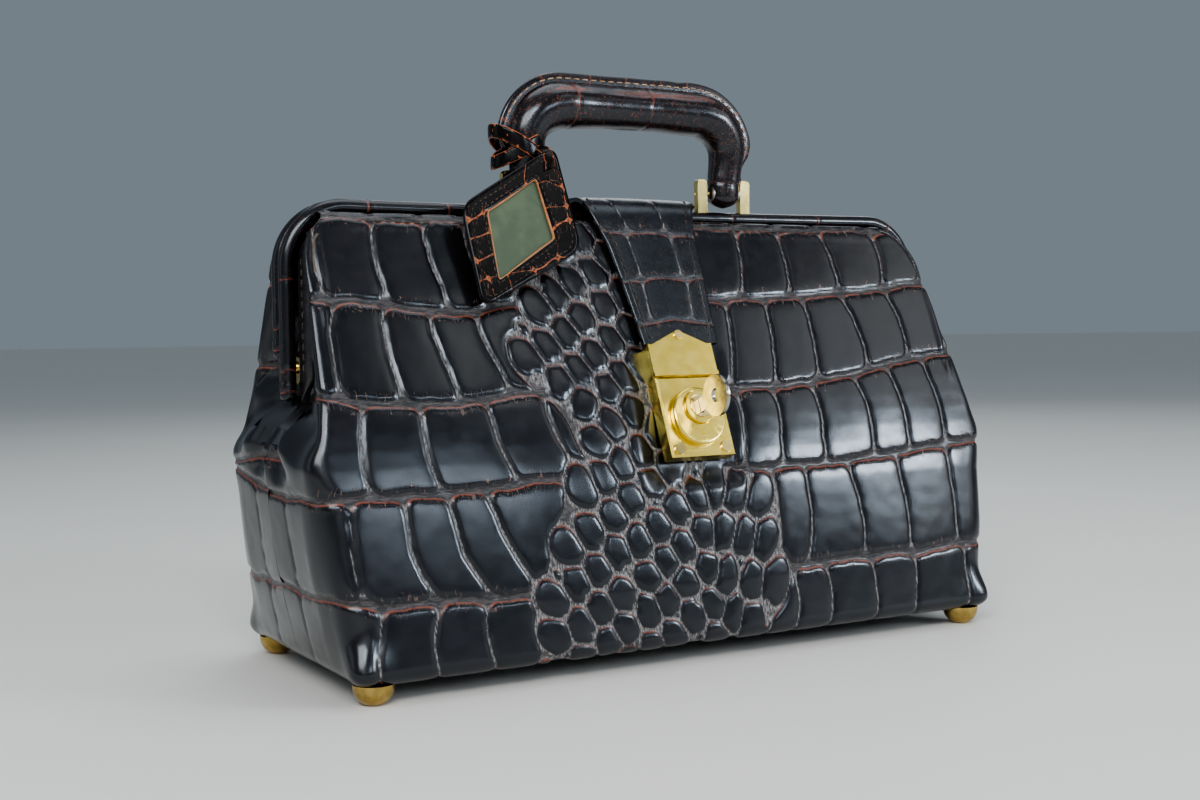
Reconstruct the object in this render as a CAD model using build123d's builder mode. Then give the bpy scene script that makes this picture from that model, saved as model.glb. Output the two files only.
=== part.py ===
from build123d import *
import os
from math import atan2, cos, degrees, radians, sin, sqrt

# Doctor bag with a hinged double frame, millimetres.
# +X runs along the frame, -Y is the front with the lock, +Z is up and z = 0 is the floor.
# The bag is drawn about its own middle plane and moved by SHIFT_Y when a piece is written,
# so that the origin lies under the middle of the whole object, key included.

SHIFT_Y = 8.72

# Body
BASE_HALF_WIDTH = 194.5
BASE_HALF_DEPTH = 82.0
BASE_Z = 10.0
SHOULDER_HALF_WIDTH = 211.5
SHOULDER_HALF_DEPTH = 63.7
SHOULDER_Z = 118.0
CORNER_RADIUS = 15.0
LEATHER = 2.4
SPLIT_Z = 94.0
SPLIT_GAP = 2.0
CORNER_WRAP = 12.0

# Upper panels, which ride on the jaws
PANEL_TOP_HALF_WIDTH = 195.5
PANEL_TOP_Y = 18.0
PANEL_TOP_Z = 232.0
PANEL_LEAN = degrees(atan2(SHOULDER_HALF_DEPTH - PANEL_TOP_Y, PANEL_TOP_Z - SHOULDER_Z))
PANEL_CORNER = 22.0

# Frame
HINGE_Z = 157.0
TUBE_Y = 5.0
TUBE_RADIUS = 3.9
CORE_RADIUS = 2.0
TUBE_HALF_WIDTH = 199.2
TUBE_Z = 237.7
TUBE_CORNER = 31.0
FLANGE_DEPTH = 6.0
FLANGE_THICK = 3.0

# Hinge stack, as distances from the middle along X
RIVET_RADIUS = 2.0
RUNNING = 0.06
RIVET_INNER = 183.4
STAY_X = (185.0, 187.6)
BACK_TAB_X = (188.0, 189.8)
FRONT_TAB_X = (190.2, 192.0)
WASHER_X = (192.4, 193.6)
RIVET_OUTER = 194.4
WASHER_RADIUS = 8.5

# Handle
PIN_Z = 251.5
PIN_RADIUS = 1.4
POST_X = (47.3, 76.7)
POST_WIDTH = 6.5
POST_DEPTH = 4.0
POST_TOP = 259.5
BARREL_X = 62.0
BARREL_LENGTH = 18.0
BARREL_RADIUS = 7.0
GRIP_RADIUS = 10.0
GRIP_HALF_WIDTH = 66.3
GRIP_Z = 297.5
GRIP_CORNER = 24.0
GRIP_START = 264.0
WELT_THICK = 3.0

# Strap and hasp
STRAP_Z = 244.9
STRAP_THICK = 3.0
STRAP_HALF_WIDTHS = ((250, 37.5), (244, 36.5), (230, 31), (218, 28), (190, 25.5), (160, 23.5))
HASP_HALF_WIDTH = 20.0
HASP_BOTTOM = 20.9
HASP_SHOULDER = 39.0
HASP_TOP = 46.8
HASP_DEPTH = (7.4, 9.2)

# Lock, measured from the middle of its dial along the panel
LOCK_Z = 126.65
LOCK_HALF_WIDTH = 19.8
LOCK_BOTTOM = -23.7
LOCK_STEP = 20.2
LOCK_TOP = 38.0
LOCK_DEPTH = 9.0
LOCK_STEP_DEPTH = 7.0
BEZEL_V = -2.7
BEZEL_RADIUS = 15.8
PLUG_V = 1.5
PLUG_RADIUS = 6.0
BOSS_RADIUS = 8.9

# Feet
FOOT_X = 183.0
FOOT_Y = 70.5
FOOT_RADIUS = 10.0
FOOT_FLAT = 4.0
SCREW_RADIUS = 2.0

# Luggage tag
TAG_Y = -22.0
TAG_Z = 262.0
TAG_LEAN = 17.0
TAG_CORNERS = ((-114.7, -25.8), (-56.8, 9.0), (-50.6, -48.0), (-111.4, -79.8))
TAG_WINDOW = ((-101.7, -28.7), (-70.2, -9.3), (-64.6, -42.7), (-100.8, -66.0))

FRONT, BACK = -1, 1

os.makedirs("parts", exist_ok=True)


def write(part, label):
    """Moves a finished piece to the row frame and writes its STEP file."""
    placed = part.moved(Location((0, SHIFT_Y, 0)))
    placed.label = label
    export_step(placed, f"parts/{label}.step")


def body_half_width(z):
    share = (z - BASE_Z) / (SHOULDER_Z - BASE_Z)
    return BASE_HALF_WIDTH + share * (SHOULDER_HALF_WIDTH - BASE_HALF_WIDTH)


def body_half_depth(z):
    share = (z - BASE_Z) / (SHOULDER_Z - BASE_Z)
    return BASE_HALF_DEPTH + share * (SHOULDER_HALF_DEPTH - BASE_HALF_DEPTH)


def panel_y(z):
    """Distance of the upper panel's outer face from the middle plane."""
    share = (PANEL_TOP_Z - z) / (PANEL_TOP_Z - SHOULDER_Z)
    return PANEL_TOP_Y + share * (SHOULDER_HALF_DEPTH - PANEL_TOP_Y)


def tapered_block(inset, low, high):
    """The body's outer form between two heights, smaller by inset all round."""
    with BuildPart() as block:
        for z in (low, high):
            with BuildSketch(Plane.XY.offset(z)):
                RectangleRounded(
                    2 * (body_half_width(z) - inset),
                    2 * (body_half_depth(z) - inset),
                    CORNER_RADIUS - inset,
                )
        loft()
    return block.part


def slab(profile, outline, reach=220.0):
    """A piece with a side profile (y, z) and a front outline (x, z)."""
    with BuildPart() as piece:
        with BuildSketch(Plane.YZ):
            with BuildLine():
                Polyline(*profile, close=True)
            make_face()
        extrude(amount=reach, both=True)
        with BuildSketch(Plane.XZ):
            with BuildLine():
                Polyline(*outline, close=True)
            make_face()
        extrude(amount=reach, both=True, mode=Mode.INTERSECT)
    return piece.part


def arch_face(half_width, top, bottom, radius):
    """A face with a round-cornered top, in the XZ plane."""
    with BuildSketch(mode=Mode.PRIVATE) as arch:
        with BuildLine():
            sides = FilletPolyline(
                (-half_width, bottom), (-half_width, top), (half_width, top), (half_width, bottom), radius=radius
            )
            Line(sides @ 0, sides @ 1)
        make_face()
    return arch.sketch


def panel_line(z, depth, side):
    """A point (y, z) that lies depth under the outer face of a panel, level with z on that face."""
    lean = radians(PANEL_LEAN)
    if z < SHOULDER_Z:
        lean = atan2(BASE_HALF_DEPTH - SHOULDER_HALF_DEPTH, SHOULDER_Z - BASE_Z)
        outer = body_half_depth(z)
    else:
        outer = panel_y(z)
    return (side * (outer - depth * cos(lean)), z - depth * sin(lean))


def bent_profile(near, far, top, bottom, side):
    """Side profile of a sheet that follows a panel from top to bottom, between two depths."""
    heights = (top, SHOULDER_Z, bottom)
    return [panel_line(z, near, side) for z in heights] + [panel_line(z, far, side) for z in reversed(heights)]


def panel_outline(inset, top, bottom):
    """Front outline of the leather that swings with a jaw."""
    corner = PANEL_CORNER
    return [
        (PANEL_TOP_HALF_WIDTH - inset, top - corner),
        (PANEL_TOP_HALF_WIDTH - inset - 0.3 * corner, top - 0.3 * corner),
        (PANEL_TOP_HALF_WIDTH - inset - corner, top),
        (-PANEL_TOP_HALF_WIDTH + inset + corner, top),
        (-PANEL_TOP_HALF_WIDTH + inset + 0.3 * corner, top - 0.3 * corner),
        (-PANEL_TOP_HALF_WIDTH + inset, top - corner),
        (-204 + inset, 160),
        (-199 + inset, SHOULDER_Z),
        (-195.5 + inset, bottom),
        (195.5 - inset, bottom),
        (199 - inset, SHOULDER_Z),
        (204 - inset, 160),
    ]


def lock_plane(depth=0.0, v=0.0):
    """A plane along the front panel: x across, y up the slope, z out, at a height v and a depth outwards."""
    lean = radians(PANEL_LEAN)
    out = Vector(0, -cos(lean), sin(lean))
    up = Vector(0, sin(lean), cos(lean))
    start = Vector(0, -panel_y(LOCK_Z), LOCK_Z)
    return Plane(origin=start + out * depth + up * v, x_dir=(1, 0, 0), z_dir=out)


# ---------------------------------------------------------------- lower body

shell = tapered_block(0, BASE_Z, SHOULDER_Z) - tapered_block(LEATHER, BASE_Z, SHOULDER_Z)
seam_low = BASE_HALF_WIDTH - CORNER_WRAP
seam_high = body_half_width(SPLIT_Z - SPLIT_GAP) - CORNER_WRAP

for name, side in (("front", FRONT), ("back", BACK)):
    with BuildPart() as lower_panel:
        with BuildSketch(Plane.XZ):
            with BuildLine():
                Polyline(
                    (-seam_low, BASE_Z),
                    (seam_low, BASE_Z),
                    (seam_high, SPLIT_Z - SPLIT_GAP),
                    (-seam_high, SPLIT_Z - SPLIT_GAP),
                    close=True,
                )
            make_face()
        extrude(amount=-side * 100)
        add(shell, mode=Mode.INTERSECT)
    write(lower_panel.part, f"{name}_panel_lower")

for name, side in (("left", -1), ("right", 1)):
    with BuildPart() as end_panel:
        with BuildSketch(Plane.XZ):
            with BuildLine():
                Polyline(
                    (side * (seam_low + 0.2), BASE_Z),
                    (side * 230, BASE_Z),
                    (side * 230, SHOULDER_Z),
                    (side * (SHOULDER_HALF_WIDTH - CORNER_WRAP + 0.2), SHOULDER_Z),
                    close=True,
                )
            make_face()
        extrude(amount=100, both=True)
        add(shell, mode=Mode.INTERSECT)
    write(end_panel.part, f"end_panel_{name}")

feet_places = [(x, y) for x in (-FOOT_X, FOOT_X) for y in (-FOOT_Y, FOOT_Y)]

with BuildPart() as base_panel:
    with BuildSketch(Plane.XY.offset(BASE_Z)):
        RectangleRounded(2 * BASE_HALF_WIDTH - 5.2, 2 * BASE_HALF_DEPTH - 6.2, CORNER_RADIUS - LEATHER)
        with Locations(*feet_places):
            Circle(SCREW_RADIUS, mode=Mode.SUBTRACT)
    extrude(amount=LEATHER)
write(base_panel.part, "base_panel")

with BuildPart() as base_board:
    with BuildSketch(Plane.XY.offset(12.5)):
        RectangleRounded(2 * BASE_HALF_WIDTH - 8, 2 * BASE_HALF_DEPTH - 9, CORNER_RADIUS - 4)
        with Locations(*feet_places):
            Circle(SCREW_RADIUS, mode=Mode.SUBTRACT)
    extrude(amount=3.0)
    with BuildSketch(Plane.XY.offset(14.0)):
        with Locations(*feet_places):
            Circle(4.5)
    extrude(amount=1.5, mode=Mode.SUBTRACT)
write(base_board.part, "base_board")

with BuildPart() as lining_tray:
    add(tapered_block(3.2, 15.8, 88.0))
    add(tapered_block(4.2, 16.8, 88.0), mode=Mode.SUBTRACT)
write(lining_tray.part, "lining_tray")

with BuildPart() as feet:
    for x, y in feet_places:
        with BuildSketch(Plane(origin=(x, y, 0), x_dir=(1, 0, 0), z_dir=(0, -1, 0))):
            with BuildLine():
                flat = Line((0, 0), (FOOT_FLAT, 0))
                dome = ThreePointArc(flat @ 1, (8.3, 3.4), (FOOT_RADIUS, BASE_Z))
                top = Line(dome @ 1, (0, BASE_Z))
                Line(top @ 1, (0, 0))
            make_face()
        revolve(axis=Axis((x, y, 0), (0, 0, 1)))
    with BuildSketch(Plane.XY.offset(4.0)):
        with Locations(*feet_places):
            Circle(SCREW_RADIUS)
    extrude(amount=6.0, mode=Mode.SUBTRACT)
write(feet.part, "feet")

with BuildPart() as foot_screws:
    with BuildSketch(Plane.XY.offset(4.0)):
        with Locations(*feet_places):
            Circle(SCREW_RADIUS)
    extrude(amount=10.0)
    with BuildSketch(Plane.XY.offset(14.0)):
        with Locations(*feet_places):
            Circle(4.5)
    extrude(amount=1.5)
write(foot_screws.part, "foot_screws")

# ---------------------------------------------------------------- hinge line, the same at both ends

with BuildPart() as hinge_stays:
    for side in (-1, 1):
        with BuildSketch(Plane.XZ):
            with BuildLine():
                Polyline(
                    (side * 195.3, 60),
                    (side * 197.9, 60),
                    (side * STAY_X[1], 122),
                    (side * STAY_X[1], 166),
                    (side * STAY_X[0], 166),
                    (side * STAY_X[0], 121.5),
                    close=True,
                )
            make_face()
    extrude(amount=20, both=True)
    with BuildSketch(Plane.YZ):
        with Locations((0, HINGE_Z)):
            Circle(8.0)
        with BuildLine():
            Polyline((-14, 60), (14, 60), (8, HINGE_Z), (-8, HINGE_Z), close=True)
        make_face()
        with Locations((0, HINGE_Z)):
            Circle(RIVET_RADIUS, mode=Mode.SUBTRACT)
    extrude(amount=220, both=True, mode=Mode.INTERSECT)
write(hinge_stays.part, "hinge_stays")

with BuildPart() as gusset_folds:
    for side in (-1, 1):
        with BuildSketch(Plane.XZ):
            with BuildLine():
                Polyline(
                    (side * 184, 168),
                    (side * 186, 226),
                    (side * 160, 221),
                    (side * 150, 190),
                    (side * 166, 155),
                    close=True,
                )
            make_face()
    extrude(amount=1.2, both=True)
write(gusset_folds.part, "gusset_folds")


def rings(spans, outer, inner=0.0, y=0.0, z=HINGE_Z):
    """Discs or rings about a line along X, one for each span (from, to)."""
    with BuildPart() as made:
        for start, end in spans:
            with BuildSketch(Plane.YZ.offset(start)):
                with Locations((y, z)):
                    Circle(outer)
                    if inner > 0:
                        Circle(inner, mode=Mode.SUBTRACT)
            extrude(amount=end - start)
    return made.part


def both_ends(near, far):
    return [(near, far), (-near, -far)]


with BuildPart() as hinge_rivets:
    add(rings(both_ends(RIVET_INNER, RIVET_OUTER), RIVET_RADIUS))
    add(rings(both_ends(RIVET_INNER, STAY_X[0]), 5.0))
    add(rings(both_ends(WASHER_X[1], RIVET_OUTER), 3.5))
write(hinge_rivets.part, "hinge_rivets")
write(rings(both_ends(*WASHER_X), WASHER_RADIUS, RIVET_RADIUS), "hinge_washers")

# ---------------------------------------------------------------- the two jaws


def frame_bar(side, outer, inner, bottom):
    """A bar or tube along one half of the frame."""
    with BuildPart() as bar:
        with BuildLine(Plane.XZ.offset(-side * TUBE_Y)) as path:
            FilletPolyline(
                (-TUBE_HALF_WIDTH, bottom),
                (-TUBE_HALF_WIDTH, TUBE_Z),
                (TUBE_HALF_WIDTH, TUBE_Z),
                (TUBE_HALF_WIDTH, bottom),
                radius=TUBE_CORNER,
            )
        with BuildSketch(Plane(origin=path.line @ 0, z_dir=path.line % 0)):
            Circle(outer)
            if inner > 0:
                Circle(inner, mode=Mode.SUBTRACT)
        sweep()
    return bar.part


def hinge_tabs(side, near, far):
    """The two flat tabs that join a flange to the hinge rivets."""
    with BuildPart() as tabs:
        for start, end in both_ends(near, far):
            with BuildSketch(Plane.YZ.offset(start)):
                with Locations((0, HINGE_Z)):
                    Circle(6.0)
                with Locations((side * 13.6, 180)):
                    Circle(4.2)
                make_hull()
                with Locations((0, HINGE_Z)):
                    Circle(RIVET_RADIUS + RUNNING, mode=Mode.SUBTRACT)
            extrude(amount=end - start)
        if far < FRONT_TAB_X[1]:
            for start, end in both_ends(far, FRONT_TAB_X[1]):
                with BuildSketch(Plane.YZ.offset(start)):
                    with Locations((side * 13.2, 177)):
                        Rectangle(7, 12)
                extrude(amount=end - start)
    return tabs.part


def flange(side):
    """The flat inner band of one half of the frame."""
    with BuildPart() as band:
        with BuildSketch(Plane.XZ.offset(-side * (TUBE_Y + TUBE_RADIUS + 0.3))):
            add(arch_face(195, 233.5, 147, 27))
            add(arch_face(195 - FLANGE_THICK, 233.5 - FLANGE_THICK, 147, 24), mode=Mode.SUBTRACT)
        extrude(amount=-side * FLANGE_DEPTH)
    return band.part


def rim(side):
    """Leather turned in between a panel and its flange, open at the bottom."""
    edge = TUBE_Y + TUBE_RADIUS + 0.3 + FLANGE_DEPTH + 0.2
    profile = [
        (side * edge, 230),
        (side * (panel_y(230) - 2.8), 230),
        (side * (panel_y(160) - 2.8), 160),
        (side * edge, 160),
    ]
    return slab(profile, panel_outline(2.2, 230, 150)) - slab(profile, panel_outline(5.2, 227, 150))


jaw_panels = {}
for name, side in (("front", FRONT), ("back", BACK)):
    leg_bottom = 150.0 if side == FRONT else 163.0
    steel = frame_bar(side, CORE_RADIUS, 0, leg_bottom)
    cover = frame_bar(side, TUBE_RADIUS, CORE_RADIUS, leg_bottom)
    if side == FRONT:
        with BuildPart() as posts:
            for x in [s * x for s in (-1, 1) for x in POST_X]:
                with BuildSketch(Plane.XZ.offset(TUBE_Y - POST_DEPTH / 2)):
                    with Locations((x, 238)):
                        Rectangle(POST_WIDTH, POST_TOP - 238, align=(Align.CENTER, Align.MIN))
                extrude(amount=POST_DEPTH)
        steel = steel - posts.part
        cover = cover - posts.part
    write(steel, f"{name}_frame_steel")
    write(cover, f"{name}_frame_cover")
    write(flange(side), f"{name}_flange")
    write(hinge_tabs(side, *(FRONT_TAB_X if side == FRONT else BACK_TAB_X)), f"{name}_hinge_tabs")
    write(rim(side), f"{name}_rim_strips")
    lining = slab(bent_profile(4.4, 5.4, 226, 100, side), panel_outline(9, 226, 100))
    write(lining, f"{name}_lining")
    jaw_panels[name] = slab(bent_profile(0, LEATHER, PANEL_TOP_Z, 96, side), panel_outline(0, PANEL_TOP_Z, 96))

with BuildPart() as front_leg_caps:
    with BuildSketch(Plane.XY.offset(141)):
        with Locations((-TUBE_HALF_WIDTH, -TUBE_Y), (TUBE_HALF_WIDTH, -TUBE_Y)):
            Circle(4.3)
    extrude(amount=9)
    fillet(front_leg_caps.edges().group_by(Axis.Z)[0], radius=2)
write(front_leg_caps.part, "front_leg_caps")

# ---------------------------------------------------------------- handle on the front jaw

with BuildPart() as handle_brackets:
    add(posts.part)
    fillet(handle_brackets.edges().filter_by(Axis.Y).group_by(Axis.Z)[-1], radius=2.5)
    with BuildSketch(Plane.YZ):
        with Locations((-TUBE_Y, PIN_Z)):
            Circle(PIN_RADIUS)
    extrude(amount=100, both=True, mode=Mode.SUBTRACT)
write(handle_brackets.part, "handle_brackets")
write(rings(both_ends(44.3, 79.7), PIN_RADIUS, 0, -TUBE_Y, PIN_Z), "handle_pins")


def handle_bar(radius, start):
    """A round bar along the handle's arch, from the height start on both legs."""
    with BuildPart() as bar:
        with BuildLine(Plane.XZ.offset(TUBE_Y)) as path:
            FilletPolyline(
                (-GRIP_HALF_WIDTH, start),
                (-GRIP_HALF_WIDTH, GRIP_Z),
                (GRIP_HALF_WIDTH, GRIP_Z),
                (GRIP_HALF_WIDTH, start),
                radius=GRIP_CORNER,
            )
        with BuildSketch(Plane(origin=path.line @ 0, z_dir=path.line % 0)):
            Circle(radius)
        sweep()
    return bar.part


barrels = both_ends(BARREL_X - BARREL_LENGTH / 2, BARREL_X + BARREL_LENGTH / 2)
with BuildPart() as handle_core:
    add(rings(barrels, 5.0, 0, -TUBE_Y, PIN_Z))
    add(handle_bar(2.5, PIN_Z))
    add(rings(barrels, PIN_RADIUS + RUNNING, 0, -TUBE_Y, PIN_Z), mode=Mode.SUBTRACT)
write(handle_core.part, "handle_core")

with BuildPart() as handle_grip:
    add(handle_bar(GRIP_RADIUS, GRIP_START))
    with BuildSketch(Plane.XY.offset(PIN_Z)):
        with Locations((-63.3, -TUBE_Y), (63.3, -TUBE_Y)):
            Circle(BARREL_RADIUS + 0.6)
    extrude(amount=GRIP_START - PIN_Z + 1)
    add(rings(barrels, BARREL_RADIUS, 0, -TUBE_Y, PIN_Z))
    add(rings(barrels, 5.0, 0, -TUBE_Y, PIN_Z), mode=Mode.SUBTRACT)
    add(handle_bar(2.5, PIN_Z), mode=Mode.SUBTRACT)
write(handle_grip.part, "handle_grip")

with BuildPart() as handle_welt:
    with BuildSketch(Plane.XZ.offset(TUBE_Y - WELT_THICK / 2)):
        add(arch_face(83, 314.2, 266, 41))
        add(arch_face(68, 299.5, 266, 26), mode=Mode.SUBTRACT)
    extrude(amount=WELT_THICK)
    add(handle_bar(GRIP_RADIUS, 262), mode=Mode.SUBTRACT)
write(handle_welt.part, "handle_welt")

with BuildPart() as tag_loop:
    with BuildSketch(Plane.XY.offset(266)):
        with Locations((-GRIP_HALF_WIDTH, -TUBE_Y)):
            Circle(GRIP_RADIUS + 1.8)
            Circle(GRIP_RADIUS + 0.1, mode=Mode.SUBTRACT)
        with Locations((-GRIP_HALF_WIDTH - 12, -TUBE_Y)):
            Rectangle(10, WELT_THICK + 0.4, mode=Mode.SUBTRACT)
    extrude(amount=8)
write(tag_loop.part, "tag_loop")

# ---------------------------------------------------------------- luggage tag


def tag_sheet(corners, depth, thick, radius, window=False):
    """A flat sheet with rounded corners, parallel to the tag."""
    lean = radians(TAG_LEAN)
    out = Vector(0, -cos(lean), sin(lean))
    plane = Plane(origin=Vector(0, TAG_Y, TAG_Z) + out * depth, x_dir=(1, 0, 0), z_dir=out)
    with BuildPart() as sheet:
        with BuildSketch(plane):
            with BuildLine():
                FilletPolyline(*corners, close=True, radius=radius)
            make_face()
            if window:
                with BuildLine():
                    FilletPolyline(*TAG_WINDOW, close=True, radius=3)
                make_face(mode=Mode.SUBTRACT)
        extrude(amount=thick)
    return sheet.part


write(tag_sheet(TAG_CORNERS, 0.4, 1.4, 6, True), "tag_front")
write(tag_sheet([(0.92 * x - 6.6, 0.92 * v - 2.9) for x, v in TAG_CORNERS], -0.4, 0.7, 5), "tag_card")
write(tag_sheet(TAG_CORNERS, -1.8, 1.3, 6), "tag_back")

# ---------------------------------------------------------------- lock on the front panel


def lock_sketch_block(shape, near, far):
    """Extrudes a lock-plane sketch between two depths over the panel."""
    with BuildPart() as block:
        with BuildSketch(lock_plane(near)):
            add(shape)
        extrude(amount=far - near)
    return block.part


def box_face(x, low, high):
    with BuildSketch(mode=Mode.PRIVATE) as face:
        with Locations((0, (low + high) / 2)):
            Rectangle(2 * x, high - low)
    return face.sketch


def disc_face(places, outer, inner=0.0):
    with BuildSketch(mode=Mode.PRIVATE) as face:
        with Locations(*places):
            Circle(outer)
            if inner > 0:
                Circle(inner, mode=Mode.SUBTRACT)
    return face.sketch


PLUG = [(0, PLUG_V)]
SCREWS = [(-14.5, -19.4), (14.5, -19.4)]
RIVETS = [(-14, 12), (14, 12)]

rivets = lock_sketch_block(disc_face(RIVETS, 1.5), -4.2, 3.0)
write(rivets, "lock_rivets")
write(jaw_panels["front"] - rivets, "front_panel_upper")

with BuildPart() as lock_screws:
    add(lock_sketch_block(disc_face(SCREWS, 1.5), 4.0, LOCK_DEPTH))
    add(lock_sketch_block(disc_face(SCREWS, 3.25), LOCK_DEPTH, LOCK_DEPTH + 1.1))
write(lock_screws.part, "lock_screws")

with BuildPart() as lock_body:
    add(lock_sketch_block(box_face(LOCK_HALF_WIDTH, LOCK_BOTTOM, LOCK_STEP), 0.2, LOCK_DEPTH))
    chamfer(lock_body.faces().sort_by(Axis(lock_plane().origin, lock_plane().z_dir))[-1].edges(), length=0.9)
    add(lock_sketch_block(box_face(LOCK_HALF_WIDTH, LOCK_STEP, LOCK_TOP), 0.2, LOCK_STEP_DEPTH))
    add(lock_sketch_block(box_face(6.5, 25.5, 36), 1.4, 9), mode=Mode.SUBTRACT)
    add(lock_sketch_block(box_face(2.6, 5, 26), 2.6, 5.4), mode=Mode.SUBTRACT)
    add(lock_sketch_block(disc_face(PLUG, PLUG_RADIUS + RUNNING), 2.0, 10), mode=Mode.SUBTRACT)
    add(lock_screws.part, mode=Mode.SUBTRACT)
    add(rivets, mode=Mode.SUBTRACT)
write(lock_body.part, "lock_body")

write(lock_sketch_block(box_face(18, -8, 34), -4.2, -2.6) - rivets, "lock_back_plate")
write(lock_sketch_block(box_face(2.3, 8.2, 26), 2.95, 5.05), "lock_bolt")

with BuildPart() as lock_bezel:
    add(lock_sketch_block(disc_face([(0, BEZEL_V)], BEZEL_RADIUS), LOCK_DEPTH, 13))
    chamfer(lock_bezel.faces().sort_by(Axis(lock_plane().origin, lock_plane().z_dir))[-1].edges(), length=0.8)
    add(lock_sketch_block(disc_face(PLUG, BOSS_RADIUS), 8, 14), mode=Mode.SUBTRACT)
write(lock_bezel.part, "lock_bezel")
write(lock_sketch_block(disc_face(PLUG, BOSS_RADIUS, PLUG_RADIUS + RUNNING), LOCK_DEPTH, 15), "lock_boss")

with BuildPart() as key_plug:
    add(lock_sketch_block(disc_face(PLUG, PLUG_RADIUS), 2.1, 15.4))
    add(lock_sketch_block(box_face(1.1, PLUG_V - 4, PLUG_V + 4), 3.0, 16), mode=Mode.SUBTRACT)
write(key_plug.part, "key_plug")

with BuildPart() as key:
    add(lock_sketch_block(box_face(0.9, PLUG_V - 3.6, PLUG_V + 3.6), 4.0, 22.0))
    with BuildSketch(Plane(origin=lock_plane(31, PLUG_V).origin, x_dir=lock_plane().z_dir, z_dir=(1, 0, 0))):
        Circle(11)
    extrude(amount=1.1, both=True)
    with BuildSketch(Plane(origin=lock_plane(31.5, PLUG_V).origin, x_dir=lock_plane().z_dir, z_dir=(1, 0, 0))):
        Circle(3.5)
    extrude(amount=3, both=True, mode=Mode.SUBTRACT)
write(key.part, "key")

# ---------------------------------------------------------------- strap, hasp and anchor

rivet_hole = lock_sketch_block(disc_face([(0, 44)], 1.6), 2.0, 10.0)


def strap_sheet(points, bend, low, high, width):
    """A sheet swept over the frame: along the top, round the bend and down a panel."""
    top, edge, lower, end = points
    with BuildPart() as sheet:
        with BuildLine(Plane.YZ) as path:
            Line(top, edge)
            Bezier(edge, bend, lower)
            Line(lower, end)
        with BuildSketch(Plane(origin=path.line @ 0, x_dir=(1, 0, 0), z_dir=path.line % 0)):
            with Locations((0, (low + high) / 2)):
                Rectangle(width, high - low)
        sweep()
        with BuildSketch(Plane.XZ):
            with BuildLine():
                right = [(half, z) for z, half in STRAP_HALF_WIDTHS]
                left = [(-half, z) for z, half in reversed(STRAP_HALF_WIDTHS)]
                Polyline(*right, *left, close=True)
            make_face()
        extrude(amount=100, both=True, mode=Mode.INTERSECT)
    return sheet.part


end = lock_plane(5.8, 39.5).origin
FRONT_RUN = ((6, STRAP_Z), (-6, STRAP_Z), (-22.2, 231.5), (end.Y, end.Z))
FRONT_BEND = (-16.4, STRAP_Z)
BACK_RUN = ((10, STRAP_Z), (11, STRAP_Z), (22.2, 231.5), (34.0, 196.7))
BACK_BEND = (17.7, STRAP_Z)

with BuildPart() as strap:
    add(strap_sheet(FRONT_RUN, FRONT_BEND, -0.5, 1.5, 80))
    add(rivet_hole, mode=Mode.SUBTRACT)
write(strap.part, "strap")
with BuildPart() as strap_lining:
    add(strap_sheet(FRONT_RUN, FRONT_BEND, -1.5, -0.5, 80))
    add(rivet_hole, mode=Mode.SUBTRACT)
write(strap_lining.part, "strap_lining")

anchor_sheet = strap_sheet(BACK_RUN, BACK_BEND, -1.5, 1.5, 60)
ANCHOR_RIVETS = [(-16, 206), (16, 206)]
with BuildPart() as anchor_rivets:
    for x, z in ANCHOR_RIVETS:
        out = Vector(0, cos(radians(PANEL_LEAN)), sin(radians(PANEL_LEAN)))
        start = Vector(x, panel_y(z), z)
        with BuildSketch(Plane(origin=start - out * 3.0, z_dir=out)):
            Circle(1.5)
        extrude(amount=7.6)
        with BuildSketch(Plane(origin=start + out * 4.6, z_dir=out)):
            Circle(3.2)
        extrude(amount=1.2)
write(anchor_rivets.part, "anchor_rivets")
write(anchor_sheet - anchor_rivets.part, "strap_anchor")
write(jaw_panels["back"] - anchor_rivets.part, "back_panel_upper")

with BuildPart() as hasp_plate:
    with BuildSketch(lock_plane(HASP_DEPTH[0])):
        with BuildLine():
            Polyline(
                (-HASP_HALF_WIDTH, HASP_BOTTOM),
                (HASP_HALF_WIDTH, HASP_BOTTOM),
                (HASP_HALF_WIDTH, HASP_SHOULDER),
                (HASP_HALF_WIDTH - 3, HASP_SHOULDER),
                (0, HASP_TOP),
                (3 - HASP_HALF_WIDTH, HASP_SHOULDER),
                (-HASP_HALF_WIDTH, HASP_SHOULDER),
                close=True,
            )
        make_face()
    extrude(amount=HASP_DEPTH[1] - HASP_DEPTH[0])
    lip = box_face(HASP_HALF_WIDTH, HASP_BOTTOM, HASP_BOTTOM + 2)
    add(lock_sketch_block(lip, HASP_DEPTH[1], 10.0))
    add(rivet_hole, mode=Mode.SUBTRACT)
write(hasp_plate.part, "hasp_plate")

with BuildPart() as hasp_rivet:
    add(lock_sketch_block(disc_face([(0, 44)], 1.6), 3.6, HASP_DEPTH[1]))
    add(lock_sketch_block(disc_face([(0, 44)], 2.4), HASP_DEPTH[1], 10.2))
write(hasp_rivet.part, "hasp_rivet")

with BuildPart() as hasp_tongue:
    add(lock_sketch_block(box_face(5.5, 28.0, 30.5), 1.8, HASP_DEPTH[0]))
    add(lock_sketch_block(box_face(2.8, 27.0, 31.5), 2.55, 5.45), mode=Mode.SUBTRACT)
write(hasp_tongue.part, "hasp_tongue")
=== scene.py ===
import math

import bpy
import numpy as np
from mathutils import Matrix, Vector


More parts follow.
